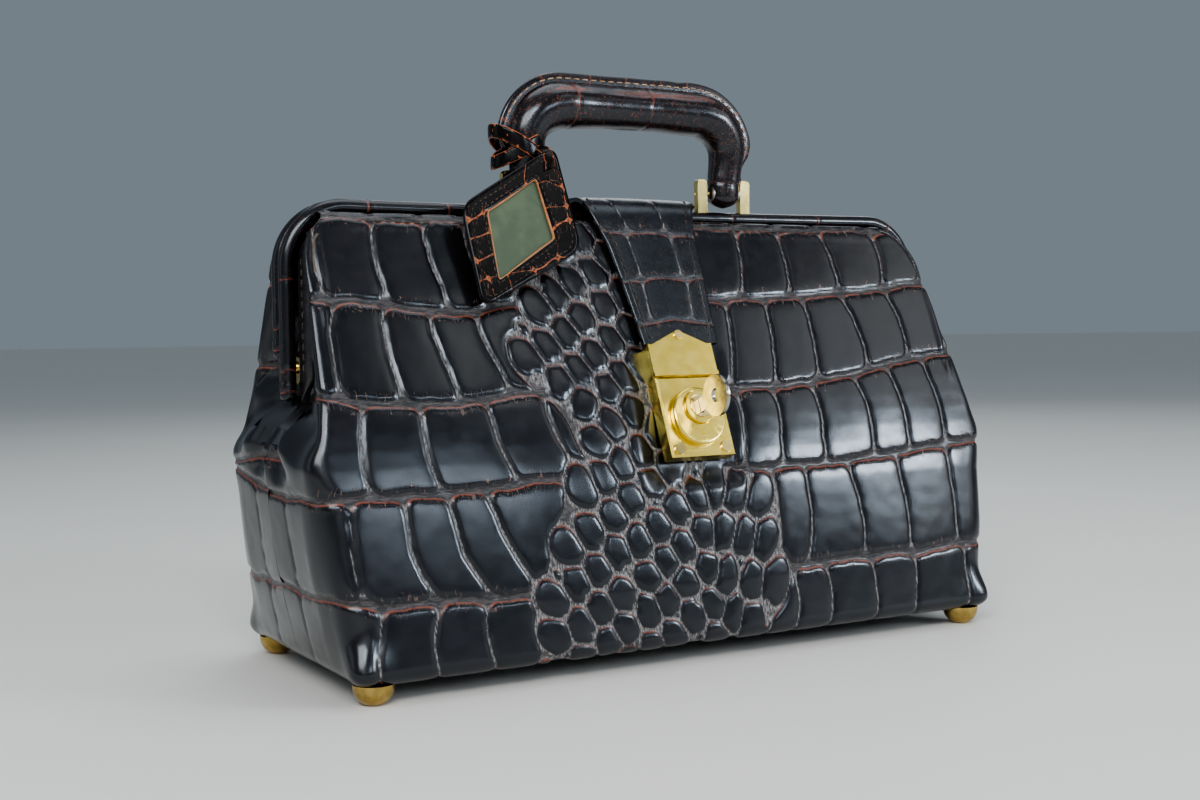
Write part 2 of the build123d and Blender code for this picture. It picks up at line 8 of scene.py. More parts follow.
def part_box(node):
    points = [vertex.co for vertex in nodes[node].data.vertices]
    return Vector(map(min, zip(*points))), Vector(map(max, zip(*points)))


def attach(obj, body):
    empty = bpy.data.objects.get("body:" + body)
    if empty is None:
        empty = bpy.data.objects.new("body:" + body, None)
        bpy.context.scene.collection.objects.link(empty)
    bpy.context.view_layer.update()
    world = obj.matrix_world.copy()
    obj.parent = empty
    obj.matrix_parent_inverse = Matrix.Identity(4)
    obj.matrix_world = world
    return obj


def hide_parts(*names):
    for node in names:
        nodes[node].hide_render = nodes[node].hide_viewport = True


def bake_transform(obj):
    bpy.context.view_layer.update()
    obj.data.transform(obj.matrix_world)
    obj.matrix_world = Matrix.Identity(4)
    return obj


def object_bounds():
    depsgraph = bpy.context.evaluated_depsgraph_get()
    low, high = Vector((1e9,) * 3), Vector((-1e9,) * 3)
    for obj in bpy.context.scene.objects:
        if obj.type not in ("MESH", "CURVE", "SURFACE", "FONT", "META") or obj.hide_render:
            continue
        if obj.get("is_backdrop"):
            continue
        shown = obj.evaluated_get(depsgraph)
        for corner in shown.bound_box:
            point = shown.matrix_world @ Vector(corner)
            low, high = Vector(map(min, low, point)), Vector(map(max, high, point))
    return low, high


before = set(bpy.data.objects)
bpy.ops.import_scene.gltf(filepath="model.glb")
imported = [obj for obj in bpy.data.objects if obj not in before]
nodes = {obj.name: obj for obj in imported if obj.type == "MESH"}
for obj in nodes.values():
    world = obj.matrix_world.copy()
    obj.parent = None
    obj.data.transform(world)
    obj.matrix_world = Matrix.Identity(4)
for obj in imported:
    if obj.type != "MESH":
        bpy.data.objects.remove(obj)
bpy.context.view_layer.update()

MM = 0.001
pi = math.pi
lo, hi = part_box("hinge_rivets")
MID = (lo.y + hi.y) / 2              # the bag's middle plane across its depth, metres


# ---------------------------------------------------------------- numbers ---
def between(points):
    """A function that joins the points with straight lines."""
    at, value = zip(*points)
    return lambda t: np.interp(t, at, value)


def soft(points, reach=9.0):
    """The same, with its corners smoothed over a distance of `reach`."""
    line = between(points)
    steps = np.linspace(-reach, reach, 7)
    return lambda t: sum(line(np.asarray(t, float) + s) for s in steps) / len(steps)


def ease(t, a=0.0, b=1.0):
    """0 before a, 1 after b, smooth between."""
    t = np.clip((np.asarray(t, float) - a) / (b - a), 0, 1)
    return t * t * (3 - 2 * t)


def lattice(u, v, size, seed):
    """Smooth random field between -1 and 1 with features about `size` mm across."""
    grid = np.random.RandomState(seed).uniform(-1, 1, (64, 64))
    a, b = np.asarray(u, float) / size, np.asarray(v, float) / size
    i, j = np.floor(a).astype(int), np.floor(b).astype(int)
    fu, fv = ease(a - i), ease(b - j)
    knot = lambda di, dj: grid[(i + di) % 64, (j + dj) % 64]
    low = knot(0, 0) * (1 - fu) + knot(1, 0) * fu
    top = knot(0, 1) * (1 - fu) + knot(1, 1) * fu
    return low * (1 - fv) + top * fv


def blunt_min(a, b, k):
    """The smaller of a and b, rounded off where they are about equal."""
    h = np.clip(k - np.abs(a - b), 0, None) / k
    return np.minimum(a, b) - h * h * k / 4


def nearest(value, marks):
    """Distance from each value to the closest of the marks."""
    return np.min([np.abs(value - m) for m in marks], axis=0)


def stack(*parts):
    """Arrays and numbers, spread to one shape, side by side along a new last axis."""
    return np.stack(np.broadcast_arrays(*parts), -1).astype(float)


def unit(vectors):
    return vectors / np.maximum(np.linalg.norm(vectors, axis=-1, keepdims=True), 1e-9)


def run_length(line):
    """Distance along a line of points, from its start."""
    return np.concatenate([[0], np.cumsum(np.linalg.norm(np.diff(line, axis=0), axis=1))])


def curve(a, b, c, t):
    """Point at t, 0 to 1, of the curve that leaves a towards b and comes into c."""
    return a * (1 - t) ** 2 + 2 * t * (1 - t) * b + c * t * t


# ----------------------------------------------------------------- meshes ---
def link(name, data):
    made = bpy.data.objects.new(name, data)
    bpy.context.scene.collection.objects.link(made)
    return made


def add_object(name, mesh, material, smooth=True):
    if smooth:
        mesh.polygons.foreach_set("use_smooth", [True] * len(mesh.polygons))
    mesh.materials.append(material)
    return link(name, mesh)


def to_frame(points):
    """Points in mm about the bag's middle plane, as metres in the row frame."""
    points = np.asarray(points, float) * MM
    points[..., 1] += MID
    return points


def grid_piece(name, points, material, keep=None, loop=False, flip=False, **fields):
    """A grid of points [rows, columns, 3] in mm as one smooth sheet, with its fields."""
    rows, cols = points.shape[:2]
    index = np.arange(rows * cols).reshape(rows, cols)
    if loop:
        index = np.hstack([index, index[:, :1]])
    quads = np.stack([index[:-1, :-1], index[:-1, 1:], index[1:, 1:], index[1:, :-1]], -1)
    if flip:
        quads = quads[..., ::-1]
    if keep is not None:
        quads = quads[keep[:-1, :-1] & keep[1:, 1:] & keep[:-1, 1:] & keep[1:, :-1]]
    quads = quads.reshape(-1, 4)
    used = np.unique(quads)
    renumber = np.zeros(rows * cols, int)
    renumber[used] = np.arange(len(used))
    mesh = bpy.data.meshes.new(name)
    mesh.from_pydata(to_frame(points.reshape(-1, 3)[used]).tolist(), [],
                     renumber[quads].tolist())
    for field, value in fields.items():
        value = np.asarray(value, float)
        if value.ndim == 3:
            layer = mesh.attributes.new(field, "FLOAT_VECTOR", "POINT")
            layer.data.foreach_set("vector", value.reshape(-1, 3)[used].ravel())
        else:
            layer = mesh.attributes.new(field, "FLOAT", "POINT")
            value = np.broadcast_to(value, (rows, cols)).ravel()
            layer.data.foreach_set("value", value[used])
    mesh.update()
    return add_object(name, mesh, material)


def merge(name, parts, material):
    """Several (vertices, faces) in mm as one piece."""
    verts, faces, base = [], [], 0
    for v, f in parts:
        verts.extend(to_frame(v).tolist())
        faces.extend([[i + base for i in face] for face in f])
        base += len(v)
    mesh = bpy.data.meshes.new(name)
    mesh.from_pydata(verts, [], faces)
    mesh.update()
    return add_object(name, mesh, material)


def settle(piece, body, slot, *replaced):
    """The piece rides on a body, in place of the CAD nodes named. The slot is not used."""
    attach(piece, body)
    if replaced:
        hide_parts(*replaced)


def normals_of(points):
    return unit(np.cross(np.gradient(points, axis=1), np.gradient(points, axis=0)))


def arch(half, foot, top, radius, step=1.3):
    """A frame's or handle's inverted U, left foot to right foot: points (x, z), outward normals."""
    inner, spring = half - radius, top - radius
    bend = np.linspace(0, pi / 2, int(radius * pi / 2 / step) + 2)
    out = [(-half, z, -1, 0) for z in np.arange(foot, spring, step)]
    out += [(-inner - radius * math.cos(a), spring + radius * math.sin(a),
             -math.cos(a), math.sin(a)) for a in bend]
    out += [(x, top, 0, 1) for x in np.arange(-inner, inner, step)[1:]]
    out += [(inner + radius * math.cos(a), spring + radius * math.sin(a),
             math.cos(a), math.sin(a)) for a in bend[::-1]]
    out += [(half, z, 1, 0) for z in np.arange(spring, foot, -step)[1:]]
    out = np.array(out)
    return out[:, :2], out[:, 2:]


def beside(line, out, d, y):
    """Points at distance d outside a line (x, z), at depth y."""
    return stack(line[..., 0] + out[..., 0] * d, y, line[..., 1] + out[..., 1] * d)


def above(path, out, d, x):
    """Points at distance d outside a path (y, z), at x across the bag."""
    return stack(x, path[..., 0] + out[..., 0] * d, path[..., 1] + out[..., 1] * d)


def rings(centre, normal, angle, rx, ry):
    """Rings of points about a path [n, 3]: rx along its normals, ry across the bag's depth."""
    wide = rx * np.cos(angle)
    return stack(centre[:, :1] + wide * normal[:, :1], centre[:, 1:2] + ry * np.sin(angle),
                 centre[:, 2:] + wide * normal[:, 2:])


# A stitch's thread: place along it, thickness and height at each stop, in parts of 1.
STITCH = ((-0.02, 0.35, -0.9), (0.12, 0.9, -0.2), (0.5, 1.0, 0.35), (0.88, 0.9, -0.2),
          (1.02, 0.35, -0.9))
RING = 6                             # points round the thread


def stitch_shape(a, b, radius, side):
    """One sewn stitch from a to b, a short thread that dips at both ends along -side."""
    axis = unit(b - a)
    side = unit(side - axis * side.dot(axis))
    angle = (np.arange(RING) * 2 * pi / RING)[:, None]
    spokes = radius * (np.cos(angle) * side + np.sin(angle) * np.cross(axis, side))
    verts = np.concatenate([a + (b - a) * t + side * lift * radius + size * spokes
                            for t, size, lift in STITCH])
    index = np.arange(len(verts)).reshape(-1, RING)
    after = np.roll(index, -1, 1)
    walls = np.stack([index[:-1], after[:-1], after[1:], index[1:]], -1).reshape(-1, 4)
    return verts, walls.tolist() + [index[0, ::-1].tolist(), index[-1].tolist()]


def stitch_row(line, sides, pitch, length, radius):
    """Stitches along a line of points in mm, each standing out along its side."""
    far = run_length(line)
    sides = np.broadcast_to(sides, line.shape)
    at = lambda values, s: np.array([np.interp(s, far, values[:, k]) for k in range(3)])
    made, s = [], pitch * 0.5
    while s + length < far[-1]:
        made.append(stitch_shape(at(line, s), at(line, s + length), radius,
                                 at(sides, s + length / 2)))
        s += pitch
    return made


# -------------------------------------------------------------- materials ---
class Nodes:
    """Short calls for building one material's node tree."""

    def __init__(self, name):
        self.material = bpy.data.materials.new(name)
        self.material.use_nodes = True
        self.tree = self.material.node_tree
        self.tree.nodes.clear()
        out = self.tree.nodes.new("ShaderNodeOutputMaterial")
        self.shader = self.tree.nodes.new("ShaderNodeBsdfPrincipled")
        self.tree.links.new(self.shader.outputs[0], out.inputs[0])

    def put(self, kind, inputs=None, out=0, **settings):
        node = self.tree.nodes.new("ShaderNode" + kind)
        for key, value in settings.items():
            setattr(node, key, value)
        for key, value in (inputs or {}).items():
            self.join(value, node.inputs[key])
        return node.outputs[out]

    def join(self, value, socket):
        if isinstance(value, bpy.types.NodeSocket):
            self.tree.links.new(value, socket)
        elif isinstance(value, (tuple, list)) and len(value) == 3 and socket.type == "RGBA":
            socket.default_value = (*value, 1)
        else:
            socket.default_value = value

    def set(self, **values):
        for key, value in values.items():
            self.join(value, self.shader.inputs[key.replace("_", " ")])

    def field(self, name, out=2):
        return self.put("Attribute", attribute_name=name, attribute_type="GEOMETRY", out=out)

    def stretch(self, vector, scale):
        return self.put("Mapping", {"Vector": vector, "Scale": scale})

    def place(self, scale=1000):
        """The point in the piece's own space, in mm unless `scale` says otherwise."""
        return self.stretch(self.put("TexCoord", out=3), (scale, scale, scale))

    def noise(self, vector, scale, detail=3.0, rough=0.55, distortion=0.0):
        return self.put("TexNoise", {"Vector": vector, "Scale": scale, "Detail": detail,
                                     "Roughness": rough, "Distortion": distortion})

    def math(self, op, a, b=0.0, c=0.0):
        return self.put("Math", {0: a, 1: b, 2: c}, operation=op)

    def times(self, a, b):
        return self.math("MULTIPLY", a, b)

    def plus(self, a, b):
        return self.math("ADD", a, b)

    def minus(self, a, b):
        return self.math("SUBTRACT", a, b)

    def step(self, value, a, b, low=0.0, high=1.0):
        return self.put("MapRange", {"Value": value, "From Min": a, "From Max": b,
                                     "To Min": low, "To Max": high},
                        interpolation_type="SMOOTHSTEP")

    def mix(self, factor, a, b):
        node = self.tree.nodes.new("ShaderNodeMix")
        node.data_type = "RGBA"
        for socket, value in ((0, factor), (6, a), (7, b)):
            self.join(value, node.inputs[socket])
        return node.outputs[2]

    def bump(self, height, distance, strength=1.0):
        return self.put("Bump", {"Height": height, "Distance": distance, "Strength": strength})


HAIR = (0.15, 0.09, 0.075)           # colour of the fine lines that run into the scales


def scaled_leather(name, scale, groove, line, rough=0.22, worn=0.0,
                   worn_colour=(0.05, 0.02, 0.012), painted_highlight_colour=(0.33, 0.31, 0.305), line_width=0.8,
                   shine=0.5, coat=0.25, tint=(0.80, 0.90, 1.0)):
    """Glossy printed leather: polished scales, wrinkled grooves with a painted highlight along the
    upright ones, a line on each scale's top edge.

    It reads the piece's fields: edge, mm outside the grooves; belt, mm from the wide grooves;
    top, 1 on a scale's upper edge; cell, the scale's number, 0 to 1; pat, mm over the leather.
    """
    m = Nodes(name)
    at = m.field("pat", out=1)
    edge, top, belt, cell = (m.field(n) for n in ("edge", "top", "belt", "cell"))
    ragged = m.math("MULTIPLY_ADD", m.noise(at, 0.9, 4, 0.6), 1.0, -0.5)
    rim = m.plus(edge, m.times(ragged, 0.8))
    in_groove = m.step(rim, 0.30, -0.35)
    crease = m.noise(m.stretch(at, (0.17, 0.3, 0.85)), 1.0, 5, 0.65, 1.0)
    fine = m.noise(at, 2.4, 4, 0.6)
    # scales: a little different each, faint mottling
    hue = m.step(m.plus(m.times(cell, 0.5), m.noise(at, 0.055, 3)), 0.35, 1.15)
    lighter = tuple(min(1, c * f) for c, f in zip(scale, (2.1, 1.75, 1.9)))
    speck = m.step(m.noise(at, 1.6, 2, 0.5), 0.66, 0.76)
    top_colour = m.mix(m.times(speck, 0.35), m.mix(hue, scale, lighter), worn_colour)
    if worn:
        rub = m.step(m.noise(at, 0.13, 5, 0.7), 0.55 - 0.2 * worn, 0.76 - 0.2 * worn)
        dots = m.step(m.noise(at, 0.95, 3, 0.7), 0.56, 0.63)
        top_colour = m.mix(m.times(m.times(rub, dots), 0.9), top_colour, worn_colour)
    # grooves: dark creases, and a painted highlight along the upright ones, a pale colour laid where
    # light would catch
    # the groove's own grey-brown, with painted shade: darker where the crease noise is low, in the
    # same valleys that the bump sinks
    groove_colour = m.mix(m.step(crease, 0.42, 0.60), tuple(c * 0.16 for c in groove), groove)
    side = m.times(m.step(belt, 1.2, 3.2), m.step(m.math("ABSOLUTE", edge), 0.7, 1.8, 1.0, 0.15))
    streak = m.noise(m.stretch(at, (1.0, 1.0, 0.25)), 1.4, 4, 0.65)
    # painted highlight: pale streaks down the middle of the upright grooves, standing in for light
    # caught there
    painted_highlight_mask = m.times(side, m.step(streak, 0.44, 0.58))
    groove_colour = m.mix(m.times(painted_highlight_mask, 0.75), groove_colour, painted_highlight_colour)
    colour = m.mix(in_groove, top_colour, groove_colour)
    # the line along each scale's top edge
    band = m.times(m.step(rim, -0.75 * line_width, -0.1), m.step(rim, 0.95 * line_width, 0.30))
    band = m.times(band, m.step(top, 0.25, 0.75))
    band = m.times(band, m.step(m.noise(at, 0.35, 4, 0.65), 0.34, 0.50))
    colour = m.mix(m.times(band, 0.9), colour, line)
    # hair lines running from the belts into the scales
    combed = m.noise(m.stretch(at, (1.0, 1.0, 0.30)), 0.30, 1, 0.5, 0.8)
    lash = m.step(m.math("ABSOLUTE", m.minus(combed, 0.5)), 0.012, 0.004)
    reach = m.times(m.noise(m.stretch(at, (1.0, 1.0, 0.02)), 0.5, 1), 8.5)
    lash = m.times(lash, m.step(m.minus(reach, belt), 0.0, 1.0))
    lash = m.times(lash, m.step(edge, 0.0, 0.3))
    colour = m.mix(m.times(lash, 0.8), colour, HAIR)
    roughness = m.step(m.noise(at, 0.12, 3, 0.6), 0.3, 0.7, rough * 0.85, rough * 1.2)
    m.set(Base_Color=colour, Roughness=m.plus(roughness, m.times(in_groove, 0.16)),
          Specular_IOR_Level=shine, Specular_Tint=tint, Coat_Weight=coat, Coat_Roughness=0.16)
    height = m.times(m.minus(crease, 0.5), m.times(in_groove, 0.55))
    height = m.minus(height, m.times(lash, 0.10))
    height = m.plus(height, m.times(m.minus(fine, 0.5), 0.035))
    height = m.plus(height, m.times(m.noise(at, 0.07, 1), 0.3))
    m.set(Normal=m.bump(height, MM))
    return m.material


def plain_leather(name, dark, light, rough=0.28, grain=0.9):
    """Smooth pigmented leather with fine grain."""
    m = Nodes(name)
    at = m.place()
    m.set(Base_Color=m.mix(m.step(m.noise(at, 0.08, 4, 0.6), 0.35, 0.7), dark, light),
          Roughness=m.step(m.noise(at, 0.3, 4), 0.3, 0.7, rough * 0.8, rough * 1.4),
          Specular_IOR_Level=0.5,
          Normal=m.bump(m.put("TexVoronoi", {"Vector": at, "Scale": grain}), 0.12 * MM, 0.8))
    return m.material


def metal(name, dark, light, rough=0.25, brushed=(1, 1, 1), brush=0.03, tarnish=None, wear=0.5):
    """Metal with fine brushing, soft handling marks and a darker tarnish in patches."""
    m = Nodes(name)
    at = m.place()
    colour = m.mix(m.step(m.noise(at, 0.12, 4, 0.6), 0.35, 0.68), dark, light)
    patch = m.step(m.noise(at, 0.35, 5, 0.7), 0.54, 0.72)
    colour = m.mix(m.times(patch, wear), colour, tarnish)
    along = m.stretch(at, brushed)
    m.set(Base_Color=colour, Metallic=1.0, Normal=m.bump(m.noise(along, 3.0, 3, 0.6), brush * MM),
          Roughness=m.step(m.noise(along, 0.8, 4), 0.3, 0.7, rough * 0.9, rough * 1.15))
    return m.material


def woven(name, dark, light, pitch=0.9):
    """Plain woven lining cloth."""
    m = Nodes(name)
    at = m.place(1000 / pitch)
    warp, weft = (m.put("TexWave", {"Vector": at, "Scale": 0.5, "Distortion": 0.3}, out=1,
                        bands_direction=axis) for axis in "XZ")
    weave = m.math("MAXIMUM", warp, weft)
    colour = m.mix(m.times(weave, 0.8), dark, light)
    colour = m.mix(m.step(m.noise(at, 0.03, 4), 0.4, 0.7), colour, dark)
    m.set(Base_Color=colour, Roughness=0.85, Normal=m.bump(weave, 0.15 * MM), Sheen_Weight=0.2)
    return m.material


def green_card():
    """The tag's card: olive green with pale flecks."""
    m = Nodes("green_card")
    at = m.place()
    fleck = m.step(m.noise(at, 2.2, 3, 0.7), 0.66, 0.74)
    colour = m.mix(m.step(m.noise(at, 0.09, 4), 0.35, 0.7),
                   (0.050, 0.076, 0.042), (0.078, 0.108, 0.060))
    colour = m.mix(m.times(fleck, 0.5), colour, (0.30, 0.34, 0.20))
    m.set(Base_Color=colour, Roughness=0.38, Coat_Weight=0.25, Coat_Roughness=0.3,
          Normal=m.bump(m.noise(at, 1.2, 4, 0.6), 0.06 * MM))
    return m.material


# Each leather below has a painted highlight colour for its upright grooves; the croc and the strap
# keep the default one.
CROC = scaled_leather("croc_leather", (0.0034, 0.0030, 0.0038), (0.070, 0.056, 0.053),
                      (0.21, 0.060, 0.036))
HANDLE_LEATHER = scaled_leather(
    "handle_croc", (0.0045, 0.0032, 0.0038), (0.10, 0.030, 0.020), (0.16, 0.045, 0.028),
    rough=0.2, worn=1.0, worn_colour=(0.14, 0.042, 0.026), painted_highlight_colour=(0.14, 0.055, 0.04))
FRAME_LEATHER = scaled_leather(
    "frame_croc", (0.0045, 0.0035, 0.0042), (0.10, 0.030, 0.020), (0.16, 0.045, 0.028),
    rough=0.2, worn=0.4, worn_colour=(0.12, 0.038, 0.024), painted_highlight_colour=(0.14, 0.055, 0.04))
STRAP_LEATHER = scaled_leather(
    "strap_croc", (0.0040, 0.0042, 0.0055), (0.10, 0.085, 0.085), (0.19, 0.06, 0.04),
    rough=0.27, worn=0.5, worn_colour=(0.10, 0.042, 0.028), shine=0.55, coat=0.2,
    tint=(0.72, 0.88, 1.0))
TAG_LEATHER = scaled_leather(
    "tag_croc", (0.0035, 0.0022, 0.002), (0.33, 0.11, 0.05), (0.40, 0.13, 0.06),
    rough=0.2, worn=0.1, worn_colour=(0.06, 0.02, 0.01), painted_highlight_colour=(0.42, 0.17, 0.09),
    line_width=0.5, shine=0.2, coat=0.05)
DARK_LEATHER = plain_leather("dark_leather", (0.012, 0.010, 0.012), (0.028, 0.024, 0.029))
RAW_EDGE = plain_leather("raw_leather_edge", (0.30, 0.13, 0.055), (0.46, 0.22, 0.10), 0.7)
STRAP_BACK = plain_leather("strap_lining_leather", (0.030, 0.026, 0.012),
                           (0.075, 0.062, 0.024), 0.55)
TAN_THREAD = plain_leather("tan_thread", (0.33, 0.20, 0.11), (0.55, 0.36, 0.22), 0.8, 3.0)
OLIVE_THREAD = plain_leather("olive_thread", (0.035, 0.029, 0.022), (0.085, 0.068, 0.050),
                             0.8, 3.0)
DARK_THREAD = plain_leather("dark_thread", (0.03, 0.022, 0.018), (0.10, 0.07, 0.05), 0.7, 3.0)
BOARD = plain_leather("base_board", (0.05, 0.04, 0.03), (0.09, 0.075, 0.055), 0.8, 0.5)
BRASS = metal("satin_brass", (0.78, 0.60, 0.13), (0.86, 0.69, 0.19), 0.22, (0.08, 1.0, 1.0),
              0.0009, tarnish=(0.60, 0.44, 0.11), wear=0.15)
BRIGHT_BRASS = metal("polished_brass", (0.82, 0.64, 0.25), (0.90, 0.74, 0.36), 0.16,
                     (1.0, 1.0, 0.3), 0.0008, tarnish=(0.70, 0.53, 0.22), wear=0.1)
OLD_BRASS = metal("foot_brass", (0.36, 0.25, 0.08), (0.54, 0.39, 0.14), 0.15, (1, 1, 1), 0.004,
                  tarnish=(0.26, 0.18, 0.07))
KEY_STEEL = metal("key_steel", (0.30, 0.28, 0.23), (0.48, 0.45, 0.38), 0.22, (1, 0.3, 1), 0.006,
                  tarnish=(0.50, 0.36, 0.13), wear=0.9)
STEEL = metal("frame_steel", (0.30, 0.30, 0.31), (0.45, 0.45, 0.46), 0.35,
              tarnish=(0.12, 0.10, 0.09))
LINING = woven("lining_cloth", (0.075, 0.055, 0.038), (0.19, 0.145, 0.10))
CARD = green_card()


# ------------------------------------------------------ camera and lights ---
WORLD_LIGHT = ((0.52, 0.62, 0.70, 1), 0.34)
LIGHTS = (                           # name, place, what it faces, size, watts, colour
    ("key", (-1.1, -1.3, 1.25), (0, 0, 0.12), (1.1, 0.8), 22, (1.0, 0.98, 0.95)),
    ("top", (0.2, 0.15, 1.6), (0, 0, 0.1), (1.6, 0.9), 8, (0.93, 0.97, 1.0)),
    ("side", (-1.6, 0.35, 0.7), (0, 0, 0.15), (0.7, 1.2), 1.5, (0.95, 0.98, 1.0)),
    ("fill", (1.5, -1.1, 0.8), (0, 0, 0.15), (0.8, 1.2), 4, (1.0, 0.97, 0.93)),
    ("front", (-0.9, -2.7, 0.9), (0, 0, 0.15), (1.6, 1.0), 4, (0.97, 0.98, 1.0)),
    ("window_right", (1.76, -1.85, 0.80), (0.1, 0, 0.08), (0.50, 0.36), 18, (0.86, 0.93, 1.0)),
    ("window_left", (0.73, -2.30, 0.80), (-0.1, 0, 0.08), (0.45, 0.40), 5, (0.84, 0.92, 1.0)),
    ("glint", (0.83, -1.44, 1.55), (0, 0, 0.15), (0.35, 0.35), 0.9, (1.0, 0.98, 0.93)),
    ("spark", (-0.49, -1.50, 1.21), (0, 0, 0.15), (0.28, 0.28), 5, (0.93, 0.97, 1.0)),
    ("back", (1.3, 1.7, 1.5), (0, 0, 0.15), (1.2, 1.0), 6, (0.95, 0.98, 1.0)),
)


def photo_camera():
    """The camera solved from the photograph's straight edges."""
    turn, pitch, roll = (math.radians(v) for v in (29.85, 2.45, -0.80))
    data = bpy.data.cameras.new("camera")
    data.lens = 45.94
    data.sensor_width = 36
    camera = link("camera", data)
    camera.matrix_world = (
        Matrix.Translation((-0.4432, -0.7404 + MID, 0.1716)) @ Matrix.Rotation(-turn, 4, "Z")
        @ Matrix.Rotation(pi / 2 - pitch, 4, "X") @ Matrix.Rotation(roll, 4, "Z"))
    bpy.context.scene.camera = camera
    bpy.context.scene.view_settings.look = "AgX - Medium High Contrast"


def studio():
    """Soft light all round, some small bright lamps for the glints, and a pale floor."""
    world = bpy.data.worlds.new("studio")
    bpy.context.scene.world = world
    world.use_nodes = True
    background = world.node_tree.nodes["Background"]
    background.inputs[0].default_value, background.inputs[1].default_value = WORLD_LIGHT
    for name, place, aim, size, power, colour in LIGHTS:
        data = bpy.data.lights.new(name, "AREA")
        data.shape = "RECTANGLE"
        data.size, data.size_y = size
        data.energy = power
        data.color = colour
        lamp = link(name, data)
        lamp.location = place
        lamp.rotation_euler = (Vector(aim) - Vector(place)).to_track_quat("-Z", "Y").to_euler()
    sun = bpy.data.lights.new("sky", "SUN")
    sun.energy = 0.12
    sun.angle = math.radians(60)
    link("sky", sun).rotation_euler = (math.radians(20), math.radians(-15), 0)
    floor = Nodes("pale_floor")
    mottle = floor.noise(floor.put("TexCoord", out=3), 3.0, 3)
    floor.set(Base_Color=floor.mix(mottle, (0.74, 0.73, 0.70), (0.79, 0.78, 0.75)), Roughness=0.6)
    mesh = bpy.data.meshes.new("floor")
    mesh.from_pydata([(x, y, 0) for x, y in ((-40, -40), (40, -40), (40, 40), (-40, 40))], [],
                     [(0, 1, 2, 3)])
    add_object("floor", mesh, floor.material, smooth=False)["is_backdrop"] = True


photo_camera()
studio()

# ------------------------------------------------------------ bag's skin ----
BASE_Z, TOP_Z = 10.0, 232.0          # lower and upper edge of the panels
EAR_Z = 118.0                        # height where the soft corners stand out most
BELTS = (                            # centre lines (x, z) of the wide grooves, top to bottom
    soft(((-192, 191), (-152, 187), (-125, 184), (-109, 184), (-61, 194), (-23, 198), (39, 190),
          (96, 192), (125, 193), (156, 196), (197, 201))),
    soft(((-202, 145), (-186, 141), (-161, 139), (-135, 139), (-107, 142), (-72, 145), (-36, 148),
          (39, 141), (80, 143), (125, 148), (156, 153), (198, 159))),
    soft(((-192, 96), (-156, 96), (-114, 98), (-75, 100), (-34, 99), (32, 98), (83, 99),
          (112, 100), (141, 102), (172, 104), (200, 107), (260, 98))),
    soft(((-196, 49), (-176, 46), (-135, 45), (-86, 44), (-40, 41), (-4, 40), (35, 45),
          (83, 46), (163, 46), (198, 48))),
)
RIBS = (                             # x at the top and at the bottom of each row's upright grooves
    ((-190, -191), (-159, -159), (-132, -126), (-109, -102), (62, 52), (90, 86), (119, 125),
     (159, 159), (187, 188)),
    ((-185, -190), (-160, -159), (-136, -129), (-112, -100), (40, 32), (67, 61), (94, 92),
     (124, 130), (159, 162), (191, 193)),
    ((-181, -181), (-152, -145), (-116, -103), (-84, -69), (34, 31), (58, 57), (85, 87),
     (117, 122), (143, 148), (171, 176)),
    ((-192, -188), (-166, -153), (-144, -124), (-123, -97), (48, 45), (71, 66), (102, 106),
     (137, 139), (175, 175)),
    ((-180, -181), (-152, -153), (-127, -123), (-98, -94), (36, 38), (55, 55), (77, 78),
     (109, 111), (140, 140), (179, 179)),
)
OVALS_LEFT = soft(((10, -102), (18, -100), (41, -95), (61, -93), (94, -81), (103, -63), (139, -80),
                   (149, -94), (169, -94), (198, -77), (235, -50)), 4)
OVALS_RIGHT = soft(((10, 16), (28, 40), (49, 49), (81, 47), (95, 32), (101, -4), (137, -20),
                    (174, -17), (211, -20), (235, -24)), 4)
BELT_HALF, LANE_HALF = 1.5, 0.6      # half widths of the wide and the upright grooves, mm
FACE_HALF = 206                      # mm, upright grooves further out are on the end walls
END_LANE, END_PITCH = 246, 37.0      # the first of those from the middle, and their distance
OVAL_WIDE, OVAL_TALL = 14.2, 17.6    # mm between the centres of the small ovals
V_X, V_Z = 9, 112                    # where their two slanting sets meet
FAR = 1e3                            # mm, further than anything is


def oval_seeds(rng):
    """Centre, lean, number, handicap and length of the oval scales.

    Two slanting sets meet in a V under the lock. The seeds with a handicap are small fillers.
    """
    seeds = []
    jitter = lambda: rng.uniform(-2.3, 2.3)
    for lean, lo_x, hi_x, tall in ((math.radians(27), -140, 7, 1.0),
                                   (math.radians(-15), 7, 80, 1.22)):
        for i in range(-20, 20):
            for j in range(-20, 20):
                for di, dj, shy in ((0, 0, 0.0), (0.5, 0.5, 6.4)):
                    p = (i + di + 0.5 * (j % 2)) * OVAL_WIDE + jitter()
                    q = (j + dj * 0.95) * OVAL_TALL * tall + jitter()
                    x = V_X + p * math.cos(lean) - q * math.sin(lean)
                    z = V_Z + p * math.sin(lean) + q * math.cos(lean)
                    lost = shy and rng.uniform() < 0.12
                    if lo_x <= x < hi_x and 6 < z < 238 and not lost:
                        if OVALS_LEFT(z) + 3.5 < x < OVALS_RIGHT(z) + 0.5:
                            seeds.append((x, z, lean + rng.uniform(-0.16, 0.16), rng.uniform(),
                                          shy, tall))
    return seeds


